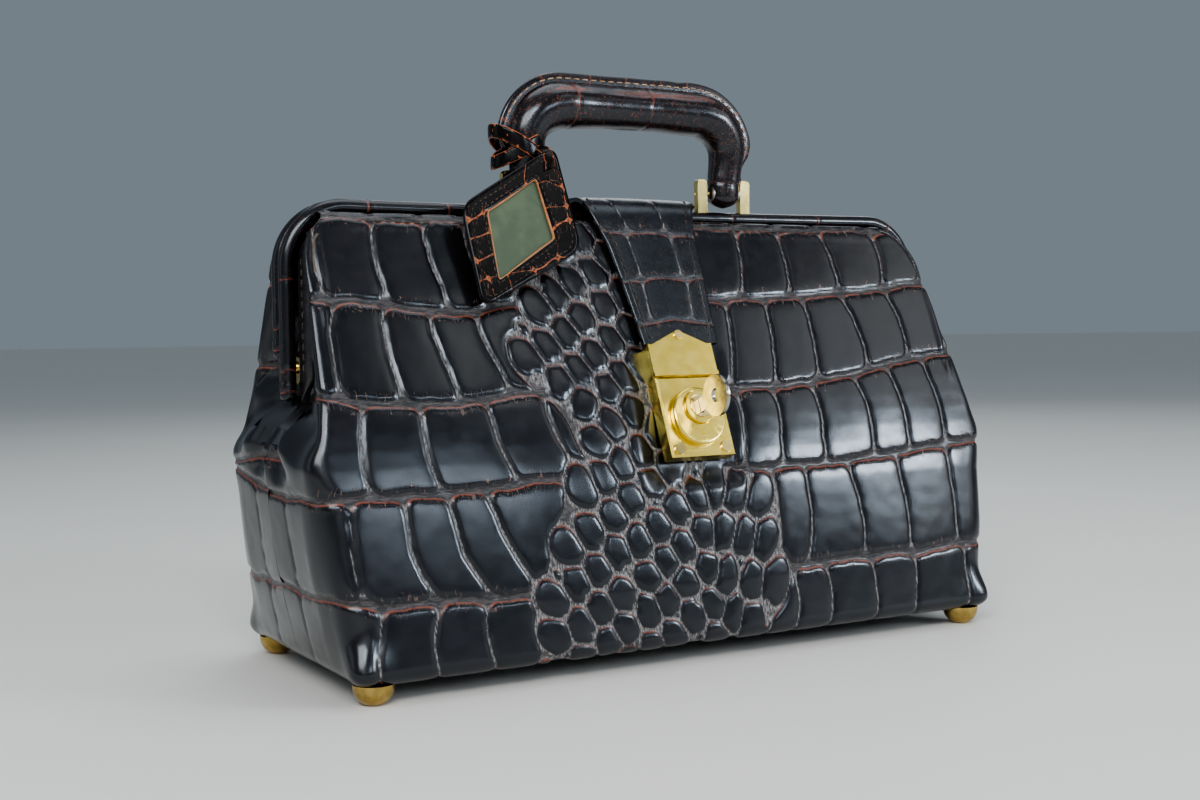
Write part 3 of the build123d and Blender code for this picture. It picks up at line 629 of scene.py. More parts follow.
def nearest_ovals(u, z):
    """Distance to the closest and to the next oval's centre, and the closest one's number."""
    first, second, who = np.full(u.shape, FAR), np.full(u.shape, FAR), np.zeros(u.shape)
    for x, zc, lean, number, shy, tall in oval_seeds(np.random.RandomState(11)):
        du, dz = u - x, z - zc
        near = (np.abs(du) < 30) & (np.abs(dz) < 30)
        du, dz, f = du[near], dz[near], first[near]
        long = dz * math.cos(lean) - du * math.sin(lean)
        wide = du * math.cos(lean) + dz * math.sin(lean)
        d = np.sqrt((long * 0.80 / tall) ** 2 + (wide * 1.06) ** 2) + shy
        second[near] = np.where(d < f, f, np.minimum(second[near], d))
        who[near] = np.where(d < f, number * 40, who[near])
        first[near] = np.minimum(f, d)
    return first, second, who


def croc_pattern(u, z, ear=FACE_HALF):
    """For points at u across and z up, in mm: distance outside the grooves, distance from the
    belts, and the scale's number. Beyond `ear` the end walls have one belt of their own."""
    wave = z + 1.2 * lattice(u, z * 0.4, 16, 3) + 0.5 * lattice(u, z, 5, 4)
    end_belt = np.where(np.abs(u) > ear, 115.0 - (272 - np.abs(u)) * 0.1, -60.0)
    belt = nearest(wave, [b(u) for b in BELTS] + [end_belt, TOP_Z - 0.5]) - BELT_HALF
    row = sum((wave < b(u)).astype(int) for b in BELTS)
    lanes = np.full(u.shape, FAR)
    cell = row * 7.0
    drift = u + 1.6 * lattice(u * 0.3, z, 22, 5) + 0.5 * lattice(u, z, 6, 6)
    limits = [lambda x: TOP_Z, *BELTS, lambda x: BASE_Z]
    for k, ribs in enumerate(RIBS):
        high, low = limits[k](u), limits[k + 1](u)
        t = np.clip((z - low) / np.maximum(high - low, 1), 0, 1)
        bow = 2.5 * np.sin(pi * t)
        outer = [(s * (END_LANE + END_PITCH * n),) * 2 for s in (-1, 1) for n in range(3)]
        for high_x, low_x in (*ribs, *(outer if k > 2 else ())):
            on_face = abs(high_x) < FACE_HALF
            lean = 1 if high_x < 20 else -1
            centre = low_x + (high_x - low_x) * t - lean * bow * on_face
            here = np.abs(drift - centre) - (LANE_HALF if on_face else -0.25)
            lanes = np.where((row == k) & (here < lanes), here, lanes)
            cell = np.where((row == k) & (drift > centre), cell + 3.7, cell)
    edge = blunt_min(belt, lanes, 6.0)
    # the small ovals, and the large scales' edge where it meets them
    margin = np.minimum(u - OVALS_LEFT(z), OVALS_RIGHT(z) - u)
    inside = margin > -14
    margin = margin[inside]
    first, second, who = nearest_ovals(u[inside], z[inside])
    ovals = blunt_min((second - first) / 2 - 0.45, 10.9 - first, 4.8)
    large = blunt_min(edge[inside], first - 11.7, 4.5) - 9 * ease(margin, 0, 6)
    small = ovals > large
    edge[inside] = np.maximum(ovals, large)
    belt[inside] = np.where(small | (margin > 3), 30.0, belt[inside])
    cell[inside] = np.where(small, who, cell[inside])
    return edge, belt, np.modf(np.sin(cell * 12.9898) * 43758.5)[0] % 1.0


def relief(edge, u, z):
    """Height of the printed scales in mm: grooves cut in, scales crowned."""
    groove = -0.95 * (1 - ease(edge, -0.8, 1.1))
    crown = 0.48 * (1 - np.exp(-np.clip(edge, 0, None) / 2.4))
    return groove + crown + 0.05 * lattice(u, z, 2.4, 31) * (edge < 0)


# The skin's rows: 6 turned in under the base, 8 round its edge, the panel, 7 over the flange.
UNDER, ROUND, OVER = 6, 8, 7
BEND = 7.0                           # radius of the rolled lower edge
quarter = np.linspace(0, pi / 2, ROUND)
SPAN_Z = np.concatenate([np.full(UNDER, BASE_Z), BASE_Z + BEND * (1 - np.cos(quarter)),
                         np.arange(BASE_Z + BEND + 1.2, TOP_Z, 1.24), np.full(OVER, TOP_Z)])
ROWS = len(SPAN_Z)
# How far each row sits inside the outline, and how the top rows roll in over the flange.
TUCK = np.concatenate([np.linspace(15, 8, UNDER), BEND * (1 - np.sin(quarter)),
                       np.zeros(ROWS - UNDER - ROUND)])
CURL, LIFT = np.zeros(ROWS), np.zeros(ROWS)
CURL[-OVER:] = (1.5, 3.0, 5.0, 7.0, 8.5, 9.3, 9.6)
LIFT[-OVER:] = (0.9, 1.6, 2.1, 2.2, 1.6, 0.6, -0.6)
GUSSET_TOP = 128                     # mm, above this the ends belong to the folded membrane

face_depth = soft(((-200, 117.6), (10, 82.0), (EAR_Z, 63.7), (232, 18.0), (250, 10.8)), 26)
CORNER = {                           # how far out the front corner is at each height
    -1: soft(((10, 194.5), (60, 202.4), (95, 206.5), (110, 210), (117, 208.5), (126, 204),
              (138, 201.5), (160, 200.5), (185, 199.5), (205, 198.5), (220, 197), (228, 192.5),
              (232, 186)), 4),
    1: soft(((10, 194.5), (60, 202), (95, 205), (113, 207), (120, 204.5), (135, 201.5),
             (162, 198.5), (185, 195), (208, 189), (220, 184), (228, 177), (232, 168)), 3),
}
end_middle = between(((110, 0), (118, -1.5), (130, -12), (140, -24), (150, -34), (160, -40)))
corner_radius = between(((10, 9), (30, 15), (90, 15), (108, 10), (118, 8), (130, 6), (200, 4.5),
                         (232, 5)))


def strip_front(z):
    """Distance of the sewn strip's front edge from the middle plane."""
    return np.minimum(25.0, face_depth(z) - 4.5)


def end_points(z, side):
    """Plan points of one end at height z: middle of the gusset, crease, front corner, its radius."""
    hull = 194.5 + 17.0 * (z - 10) / 108
    fold = ease(z, 116, 150)
    corner = CORNER[side](z)
    arc = 168.2 + np.sqrt(np.clip(23.6 ** 2 - np.clip(z - 206.7, 0, None) ** 2, 0, None))
    crease_x = np.where(z < 206.7, hull * (1 - fold) + 191.5 * fold, arc)
    crease_x = np.minimum(crease_x, np.where(z > 150, corner - 0.3, FAR))
    crease_y = -0.45 * face_depth(z) * (1 - fold) - strip_front(z) * fold
    return ((side * (hull + end_middle(z)), 0 * z), (side * crease_x, crease_y), side * corner,
            corner_radius(z))


GUSSET_COLS, SIDE_COLS, TURN_COLS, FACE_COLS = 25, 45, 13, 316


def front_skin_points():
    """The front half's skin before it sags, and the distance along it, so that the pattern
    runs on around the corners."""
    ends = []
    for side in (-1, 1):
        (mx, my), (cx, cy), px, radius = end_points(SPAN_Z, side)
        mx, cx, px = (x - side * TUCK for x in (mx, cx, px))
        py = -(face_depth(SPAN_Z) - TUCK) + CURL
        middle, corner = stack(mx, my), stack(px, py)
        crease = stack(cx, np.maximum(cy, py + 1.0))
        length = np.linalg.norm(corner - crease, axis=1)
        radius = np.minimum(radius, length * 0.45)[:, None]
        start = corner - unit(corner - crease) * radius
        finish = corner - radius * [side, 0.0]
        path = [middle + (crease - middle) * t for t in np.linspace(0, 1, GUSSET_COLS + 1)[:-1]]
        path += [crease * (1 - t) + start * t for t in np.linspace(0, 1, SIDE_COLS + 1)[:-1]]
        path += [curve(start, corner, finish, t) for t in np.linspace(0, 1, TURN_COLS)]
        ends.append(np.array(path))                        # [columns, rows, 2]
    left, right = ends[0], ends[1][::-1]
    spread = np.linspace(0, 1, FACE_COLS + 2)[1:-1, None, None]
    plan = np.concatenate([left, left[-1] * (1 - spread) + right[0] * spread, right])
    plan = plan.transpose(1, 0, 2)                         # [rows, columns, 2]
    points = stack(plan[..., 0], plan[..., 1], SPAN_Z[:, None])
    u = points[..., 0].copy()
    step = np.linalg.norm(np.diff(plan, axis=1), axis=2)
    to_corner = len(left) - TURN_COLS // 2 - 1
    for c in range(to_corner - 1, -1, -1):
        u[:, c] = u[:, c + 1] - step[:, c]
    for c in range(u.shape[1] - to_corner, u.shape[1]):
        u[:, c] = u[:, c - 1] + step[:, c - 1]
    return points, u


def bell(value, centre, width):
    return np.exp(-((value - centre) / width) ** 2)


def shape_front(points, u):
    """Sag, bulge, folds and the pinched lower corner, made on the points themselves."""
    x, z = points[..., 0], points[..., 2]                  # these follow the changes below
    across = np.clip(1 - (x / 205) ** 2, 0, 1)
    height = np.clip((z - 12) / 30, 0, 1) * np.clip((TOP_Z - 1 - z) / 40, 0, 1)
    belly = 3.2 * across ** 0.7 * height * (0.55 + 0.45 * bell(z, 75, 50))
    belly += 0.9 * lattice(x, z, 46, 21) * height * across
    # pressed flat under the lock
    under = (1 - ease(np.abs(x), 24, 34)) * ease(z, 88, 100) * (1 - ease(z, 150, 166))
    points[..., 1] += (belly - 0.2) * under - belly
    y = points[..., 1].copy()
    for side in (-1, 1):
        # end folds: ridges that fan out from below the hinge towards the ear
        end = (side * x > 150) & (np.abs(u) > 196)
        dy, dz = -(y + 7), 150 - z
        far = np.hypot(dy, dz)
        fan = np.sin(np.arctan2(dz, dy) * 7.5 + 0.6 * side + far * 0.03)
        mask = (ease(far, 6, 22) * (1 - ease(far, 46, 66)) * ease(z, 92, 114)
                * (1 - ease(z, 150, 168)))
        push = np.where(end, 2.4 * fan * mask - 1.6 * mask, 0)
        x += side * push * ease(np.abs(u), 200, 208)
        # rolled edge: ridges running down beside the flange
        here = side * u > 0
        ridge = ease(z, 138, 156) * (1 - ease(z, 222, 231)) * here
        x += side * ridge * 1.1 * bell(np.abs(u), 204, 1.7)
        points[..., 1] -= ridge * 0.9 * bell(side * x, 191, 2.2) * (side * x > 180)
        # the lower front corner is pinched into a small fold above the foot
        pinch = bell(np.abs(u), 190, 10) * bell(z, 17, 11) * here
        hollow = bell(np.abs(u), 190, 14) * bell(z, 34, 12) * here
        x += side * (2.6 * pinch - hollow)
        points[..., 1] += hollow - 2.2 * pinch
        # the end wall bulges a little between base and ear
        wall = ((side * u > 204) * np.sin(pi * np.clip((z - 12) / 96, 0, 1))
                * ease(np.abs(u), 204, 222))
        x += side * wall * (2.2 + 0.7 * lattice(u, z, 30, 22 + side))
    z += LIFT[:, None]


def without_gusset(z, cols, width):
    """Which grid points stay: all but the ends' columns above the gusset's top."""
    col = np.arange(cols)
    return ~(((col < width) | (col >= cols - width)) & (z > GUSSET_TOP))


def make_skin(name, back, *replaced):
    """One half of the bag's outer leather, from the middle of one end to the other."""
    points, u = front_skin_points()
    z = (SPAN_Z - np.where(SPAN_Z <= BASE_Z + 0.01, TUCK - BEND, 0) + CURL)[:, None] + 0 * u
    across = -u if back else u
    shift = 23 * (np.abs(u) < 150) if back else 0          # so the back is no copy of the front
    edge, belt, cell = croc_pattern(across + shift, z, FACE_HALF if back else 252)
    top = np.clip(-np.gradient(edge, axis=0) / np.maximum(np.gradient(z, axis=0), 0.3), 0, 1)
    shape_front(points, u)
    n = normals_of(points)
    under_lock = (1 - ease(np.abs(u), 20, 24)) * ease(z, 98, 102) * (1 - ease(z, 145, 150))
    raised = relief(edge, u, z) * (1 - (0 if back else under_lock))
    points += n * raised[..., None] * np.sign(-n[100, 250, 1])
    if back:
        points[..., 1] *= -1
    piece = grid_piece(name, points, CROC, flip=not back, edge=edge, belt=belt, top=top, cell=cell,
                       keep=without_gusset(SPAN_Z[:, None], u.shape[1], GUSSET_COLS),
                       pat=stack(across, 400 if back else 0, z))
    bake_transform(piece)
    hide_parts(*replaced)
    return points


def make_lining(name, points, side, *replaced):
    """Cloth lining: the skin again, coarser and 3.8 mm further in, with slight slack folds."""
    coarse = points[14:-13:5, ::6]
    n = normals_of(coarse)
    sign = side * np.sign(n[coarse.shape[0] // 2, coarse.shape[1] // 2, 1])
    slack = 0.8 * lattice(coarse[..., 0], coarse[..., 2], 19, 41 + side)
    inset = coarse - n * (sign * (3.8 + slack))[..., None]
    piece = grid_piece(name, inset, LINING, flip=side < 0,
                       keep=without_gusset(coarse[:, :1, 2], coarse.shape[1], 5))
    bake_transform(piece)
    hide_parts(*replaced)


def make_gusset(name, side, jaw):
    """Half of the folded membrane that fills one end of the open mouth."""
    z, t = np.linspace(120, 229, 60)[:, None], np.linspace(0, 1, 22)
    (mx, _), (cx, cy), _, _ = end_points(z, side)
    sunk = 0.6 + 1.4 * ease(z, 128, 150)
    x = (mx + (cx - side * sunk - mx) * t
         - side * (0.5 + 1.5 * np.sin(pi * t) * ease(z, 126, 150)))
    y = cy * t * (1 - 0.14 * ease(z, 150, 229))
    x = x + side * 0.8 * np.sin(z * 0.16 + y * 0.25) * ease(z, 130, 150)
    u, z = np.broadcast_arrays(side * (260 - y), z)
    edge, belt, cell = croc_pattern(u, z)
    out = -1 if jaw == "front_jaw" else 1
    piece = grid_piece(name, stack(x, -out * y, z), CROC, edge=edge, belt=belt, top=0, cell=cell,
                       pat=stack(u, 200, z))
    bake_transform(piece)


def make_bottom():
    """One leather sheet inside the rolled lower edge."""
    x, y = np.linspace(-1, 1, 230)[None, :], np.linspace(-1, 1, 90)[:, None]
    u, v = np.broadcast_arrays(x * 186, y * 74)
    edge, belt, cell = croc_pattern(u * 0.8, v * 1.2 + 120)
    z = 10.6 - 0.5 * np.cos(x * pi / 2) * np.cos(y * pi / 2) - relief(edge, u, v) * 0.4
    piece = grid_piece("bottom", stack(u, v, z), CROC, flip=True, edge=edge, belt=belt,
                       top=np.clip(-np.gradient(edge, axis=0) / 1.7, 0, 1), cell=cell,
                       pat=stack(u, 900, v))
    settle(piece, "body", "crocodile_leather", "base_panel")


front_points = make_skin("skin_front", False, "front_panel_lower", "front_panel_upper",
                         "front_rim_strips", "end_panel_left", "gusset_folds")
back_points = make_skin("skin_back", True, "back_panel_lower", "back_panel_upper",
                        "back_rim_strips", "end_panel_right")
make_lining("lining_front", front_points, -1, "front_lining", "lining_tray")
make_lining("lining_back", back_points, 1, "back_lining")
for side, word in ((-1, "left"), (1, "right")):
    for jaw in ("front", "back"):
        make_gusset("gusset_%s_%s" % (jaw, word), side, jaw + "_jaw")
make_bottom()


# ------------------------------------------------------------ jaw frames ----
def make_frame_tube(name, y, foot, jaw, *replaced):
    """Half of the mouth's frame, wrapped in leather and closed by a cap at each foot."""
    line, out = arch(199.2, foot, 237.7, 31.0)
    far = run_length(line)
    end = np.minimum(far, far[-1] - far)
    sag = 0.9 * np.cos(np.clip(line[:, 0] / 168, -1, 1) * pi / 2) * (line[:, 1] > 236)
    centre = stack(line[:, 0], y, line[:, 1] - sag)
    rng = np.random.RandomState(5 if y < 0 else 6)
    marks, s = [3.5, far[-1] - 3.5], 14.0                  # grooves round the tube
    while s < far[-1] - 10:
        marks.append(s)
        s += rng.uniform(38, 70)
    radius = 3.95 + 0.12 * lattice(far, 0, 17, 9)
    radius = np.where(end < 9, 4.35 - 0.25 * ease(end, 7, 9), radius)
    radius = np.where(end < 1.6, 3.2 + np.sqrt(np.clip(end / 1.6, 0, 1)), radius)
    count = 20
    angle = np.linspace(0, 2 * pi, count, endpoint=False)
    run = far[:, None] + 1.2 * np.sin(angle)
    edge = nearest(run, marks) - 0.1
    radius = radius[:, None] - 0.28 * bell(np.clip(edge, 0, None), 0, 0.7)
    points = rings(centre, stack(out[:, 0], 0, out[:, 1]), angle, radius, radius)
    tips = [np.repeat(tip[None, None], count, 1) for tip in (centre[0], centre[-1])]
    pad = lambda f: np.concatenate([f[:1], f, f[-1:]])
    piece = grid_piece(name, np.concatenate([tips[0], points, tips[1]]), FRAME_LEATHER, loop=True,
                       edge=pad(edge), belt=9, top=np.where(pad(end) < 12, 1.0, 0.75)[:, None],
                       cell=0.2, pat=stack(pad(run), y * 10, angle * 4))
    settle(piece, jaw, "frame_leather", *replaced)


FLANGE = ((-1.5, -9.4), (-1.5, -15.0), (-0.4, -15.9), (0.9, -15.6), (1.5, -14.6), (1.75, -12.4),
          (1.5, -10.2), (0.8, -9.2))  # its section at the widest: outwards, and depth


def make_flange(name, side, jaw, *replaced):
    """The sewn leather strip between frame and panel, tapering out below the hinge."""
    line, out = arch(193.5, 140.0, 232.0, 25.5, 1.6)
    x, z = line[:, 0], line[:, 1]
    taper = ease(z, 139, 153)
    front = strip_front(np.clip(z, 150, 225)) - 15.6
    middle = -12.4
    depth = lambda y: middle + (y - front * (y < -12) * (z < 228) - middle) * taper
    points = np.stack([beside(line, out, d, -side * depth(y)) for d, y in FLANGE], 1)
    settle(grid_piece(name, points, DARK_LEATHER, loop=True, flip=side > 0),
           jaw, "flange_leather", *replaced)
    rows = []
    path = beside(line, out, 1.9, side * (11.0 + (front + 3.2) / 2))
    for leg in (x < -180, x > 180):
        leg = leg & (z > 152) & (z < 214)
        rows += stitch_row(path[leg], stack(out[:, 0], 0, out[:, 1])[leg], 5.2, 3.4, 0.42)
    path = stack(np.linspace(-170, 160, 200), side * 18.9, 229.6)
    rows += stitch_row(path, (0, side, 0.3), 5.2, 3.4, 0.42)
    settle(merge(name + "_stitches", rows, OLIVE_THREAD), jaw, "flange_leather")


make_frame_tube("frame_tube_front", -5.0, 141.0, "front_jaw", "front_frame_cover", "front_leg_caps")
make_frame_tube("frame_tube_back", 5.0, 162.0, "back_jaw", "back_frame_cover")
make_flange("flange_front", -1, "front_jaw", "front_flange")
make_flange("flange_back", 1, "back_jaw", "back_flange")


# ----------------------------------------------------------------- handle ---
HANDLE_Y, HANDLE_TOP, HANDLE_HALF, HANDLE_ROUND = -5.0, 297.5, 66.3, 24.0
GRIP_THICK = soft(((0, 9.2), (12, 10.2), (24, 10.2), (38, 11.4), (56, 12.8), (72, 12.6),
                   (92, 11.8), (112, 11.4), (200, 11.4)), 5)      # by the distance from a foot
GRIP_DEEP = soft(((0, 8.3), (10, 8.7), (20, 9.2), (38, 11.0), (56, 12.6), (72, 12.4),
                  (92, 11.6), (112, 11.2), (200, 11.2)), 5)


def make_grip():
    """The leather-wrapped grip, thick at its corners and slim at its feet."""
    line, out = arch(HANDLE_HALF, 243.4, HANDLE_TOP, HANDLE_ROUND, 1.0)
    far = run_length(line)
    end = np.minimum(far, far[-1] - far)
    close = np.sqrt(np.clip(1 - (1 - np.clip(end / 6.0, 0, 1)) ** 2, 0.02, 1))
    rx, ry = GRIP_THICK(end) * close, GRIP_DEEP(end) * close
    inward = -stack(out[:, 0], 0, out[:, 1])
    x = line[:, 0] - np.sign(line[:, 0]) * 4.0 * (1 - ease(end, 4, 40))
    centre = stack(x, HANDLE_Y, line[:, 1]) + inward * (np.clip(rx - 10, 0, 9) * 0.45)[:, None]
    a = np.linspace(0, 2 * pi, 48, endpoint=False)[None, :]
    f, end = far[:, None], end[:, None]
    run = f + 2.2 * np.sin(a + 0.4) + 1.2 * lattice(f, a * 9, 9, 13)
    lanes = nearest(run, (70, 118, 205, 262)) - 0.1
    spine = np.abs(a - pi * 1.28) * 10.5 - 0.6             # a line along the front of the bar
    spine = spine + 1.3 * lattice(f, 0, 11, 14) + 9 * (end < 52)
    edge = blunt_min(lanes, spine, 2.0)
    lumps = -0.35 * bell(np.clip(edge, 0, None), 0, 0.9) + 0.10 * lattice(f, a * 10, 7, 15)
    # long soft dents where the filling has settled at the corners
    lumps += 0.5 * lattice(f * 0.6, a * 12, 13, 16)
    piece = grid_piece("grip", rings(centre, inward, a, rx[:, None] + lumps, ry[:, None] + lumps),
                       HANDLE_LEATHER, loop=True, flip=True, edge=edge, belt=9, cell=0.3,
                       top=0.42 + 0.5 * lattice(f, a * 14, 15, 17), pat=stack(run, 50, a * 10))
    settle(piece, "handle", "handle_leather", "handle_grip")


def make_welt():
    """The flat sewn edge along the outside of the handle."""
    line, out = arch(HANDLE_HALF, 256.0, HANDLE_TOP, HANDLE_ROUND, 1.2)
    far = run_length(line)
    reach = 8.2 + 8.0 * ease(np.minimum(far, far[-1] - far), 6, 24) + 0.25 * lattice(far, 0, 8, 18)
    half = ((0.0, 1.5), (0.3, 1.5), (0.6, 1.5), (0.9, 1.45), (0.985, 1.0))
    t, w = np.array([(t, -w) for t, w in half] + [(1.0, 0.0)] + list(half[::-1])).T
    d = 6 + (reach[:, None] - 6) * t
    f = far[:, None]
    edge = nearest(f, np.cumsum(np.random.RandomState(4).uniform(15, 26, 16))) - 0.05
    piece = grid_piece("handle_welt_edge", beside(line[:, None], out[:, None], d, HANDLE_Y + w),
                       HANDLE_LEATHER, edge=edge, belt=9, top=1, cell=0.6, pat=stack(f, 80, d))
    settle(piece, "handle", "handle_leather", "handle_welt")
    rows = []
    for face in (-1, 1):
        path = beside(line, out, reach - 3.2, HANDLE_Y + face * 1.55)[9:-9]
        rows += stitch_row(path, (0, face, 0), 5.4, 3.7, 0.45)
    settle(merge("handle_welt_stitches", rows, TAN_THREAD), "handle", "handle_leather")


make_grip()
make_welt()


# ------------------------------------------------------------------ strap ---
STRAP_LEFT = soft(((158, -20.4), (162, -20.4), (191, -23.9), (218, -27.9), (230, -32.2),
                   (241, -35.9), (250, -36.5)), 3)
STRAP_RIGHT = soft(((158, 24.5), (168, 25.6), (189, 26.8), (210, 27.7), (230, 28.5), (241, 33.0),
                    (246, 36.5)), 3)
STRAP_TOP = 244.9
FOLD = np.array([(-0.9, -0.2), (-0.9, -1.5), (-0.5, -2.6), (0.6, -3.0)])   # folded edge: out, depth


def strap_path(top, drop, run, counts):
    """Points (y, z) over the frame: flat on top, a bend, straight down, and the way along them."""
    t = np.linspace(0, 1, counts[0])[:, None]
    down = np.linspace(0, 1, counts[1])[1:, None]
    path = np.concatenate([top, curve(*np.array(drop, float), t),
                           np.array(drop[-1]) + down * np.array(run)])
    return path, run_length(path), unit(np.gradient(path, axis=0))


def make_strap():
    """The strap over the frame, its edges folded in and sewn, with its lining."""
    top = [(6.0 - 12.0 * t, STRAP_TOP) for t in np.linspace(0, 1, 12)[:-1]]
    drop = ((-6, STRAP_TOP), (-16.4, STRAP_TOP), (-22.2, 231.5))
    path, far, way = strap_path(top, drop, (-28.7, -66.0), (24, 66))
    out = np.stack([way[:, 1], -way[:, 0]], -1)
    out = np.where((out @ np.array([-0.6, 0.8]))[:, None] > 0, out, -out)
    level = np.where(far < 22, 246, path[:, 1])            # its width follows the height
    left, right = STRAP_LEFT(level)[:, None], STRAP_RIGHT(level)[:, None]
    across = np.linspace(0, 1, 46)
    dx, dz = FOLD.T
    x = np.hstack([left + 0.9 + dx[::-1], left + (right - left) * across, right - 0.9 - dx])
    d = 1.5 + np.concatenate([dz[::-1], 0.5 * np.sin(pi * across), dz])
    outer = above(path[:, None], out[:, None], d, x)
    f = far[:, None] + 0 * x
    # its few scales: three cross grooves and slanting side grooves between them
    cross = np.min([np.abs(f - (40 + 0.05 * x) - 1.5 * lattice(x, f, 12, 51)),
                    np.abs(f - (68 - 0.06 * x) - 1.5 * lattice(x, f, 12, 52)),
                    np.abs(f - (92 + 0.10 * np.abs(x - 2)) - 1.2 * lattice(x, f, 10, 53))],
                   axis=0) - 0.7
    slants = ((-20, 0.30, 18, -9, 40), (8, 0.1, 18, -9, 40), (-16, 0.12, 40, 40, 68),
              (12, 0.05, 40, 40, 68), (-13, 0, 0, 68, 92), (16, -0.1, 68, 68, 92))
    sides = np.min([np.abs(x - (x0 + slope * (f - f0))) + 60 * ((f < low) | (f > high))
                    for x0, slope, f0, low, high in slants], axis=0) - 0.5
    edge = blunt_min(cross, sides, 5)
    rim = np.minimum(x - left, right - x)
    edge = np.minimum(edge, np.abs(rim - 3.4) - 0.15)
    upper = np.clip(np.gradient(edge, axis=0) / np.maximum(np.gradient(f, axis=0), 0.2), 0, 1)
    n = normals_of(outer)
    n *= np.sign(n[60, 25] @ np.array([0, out[60, 0], out[60, 1]]))
    outer = outer + n * (-0.45 * (1 - ease(edge, -0.6, 0.9)))[..., None]
    piece = grid_piece("strap_face", outer, STRAP_LEATHER, flip=True, edge=edge, top=upper,
                       belt=np.clip(cross, 0, 9), cell=0.4, pat=stack(x, 700, -f))
    settle(piece, "strap", "strap_leather", "strap")
    t = np.linspace(0, 1, 24)
    inner = above(path[:, None], out[:, None], -1.35 - 0.25 * np.sin(pi * t),
                  left + 0.9 + (right - left - 1.8) * t)
    settle(grid_piece("strap_back", inner, STRAP_BACK), "strap", "strap_lining", "strap_lining")
    rows = []
    facing = stack(0, out[:, 0], out[:, 1])
    for x in (left + 4.6, right - 4.6):
        line = above(path, out, 1.75, x[:, 0])
        rows += stitch_row(line[14:], facing[14:], 4.6, 2.6, 0.3)
    settle(merge("strap_stitches", rows, DARK_THREAD), "strap", "strap_leather")


def make_anchor():
    """The strap's fixed part behind the back jaw."""
    drop = ((10.6, STRAP_TOP), (17, 244.4), (22.2, 231.5))
    path, far, way = strap_path([(10.0, STRAP_TOP)], drop, (11.8, -34.8), (16, 28))
    out = np.stack([-way[:, 1], way[:, 0]], -1)
    half = 30.0 * np.sqrt(np.clip(1 - ease(far, far[-1] - 14, far[-1] + 6) ** 2 * 0.35, 0, 1))
    t = np.linspace(0, 1, 40)
    shape = np.concatenate([[(-1, -1.4), (-1, 0.6)], stack(2 * t - 1, 1.5 + 0.3 * np.sin(pi * t)),
                            [(1, 0.6), (1, -1.4)]])
    points = above(path[:, None], out[:, None], shape[:, 1], shape[:, 0] * half[:, None])
    points = np.concatenate([points, points[-1:] - [0, 2.6, 0]])
    f, x = np.append(far, far[-1])[:, None], points[..., 0]
    edge = blunt_min(nearest(0, (f - 18 - 0.04 * x, f - 41 + 0.03 * x)) - 0.6,
                     nearest(x, (-12, 10)) - 0.5, 4)
    piece = grid_piece("strap_anchor_face", points, STRAP_LEATHER, edge=edge, belt=9, top=0,
                       cell=0.5, pat=stack(x, 760, -f))
    settle(piece, "back_jaw", "strap_leather", "strap_anchor")


make_strap()
make_anchor()


# -------------------------------------------------------------------- tag ---
TAG_LEAN = math.radians(17)
TAG_OUTER = ((-114.7, -25.8), (-56.8, 9.0), (-50.6, -48.0), (-111.4, -79.8))
TAG_WINDOW = ((-101.7, -28.7), (-70.2, -9.3), (-64.6, -42.7), (-100.8, -66.0))
TAG_MIDDLE = np.array([-84.0, -36.0])
TAG_FACE = 1.8                       # mm, the front layer's height over the card


def on_tag(x, v, d):
    """Point of the tag: x, distance v up its face, d out of its face."""
    s, c = math.sin(TAG_LEAN), math.cos(TAG_LEAN)
    return stack(x, -22 + s * v - c * d, 262 + c * v + s * d)


def tag_curve(p):
    """The tag is a little bowed, its lower corners lifting forward."""
    return 0.55 * ((p[..., 0] + 83) / 30) ** 2 + 0.45 * ((p[..., 1] + 36) / 40) ** 2


def over_tag(p, lift, bow=None):
    """Points of the bowed tag at p (x, v), `lift` out of its face; the bow is p's or its own."""
    return on_tag(p[..., 0], p[..., 1], lift + tag_curve(p if bow is None else bow))


def rounded(corners, radius, count):
    """Points round a polygon with rounded corners, evenly spread."""
    corners = [np.array(c, float) for c in corners]
    line = []
    for i, c in enumerate(corners):
        p, q = (c + unit(other - c) * radius for other in (corners[i - 1], corners[(i + 1) % 4]))
        line.extend(curve(p, c, q, t) for t in np.linspace(0, 1, 9))
    line = np.array(line + line[:1])
    far = run_length(line)
    s = np.linspace(0, far[-1], count, endpoint=False)
    return stack(*(np.interp(s, far, line[:, k]) for k in (0, 1)))


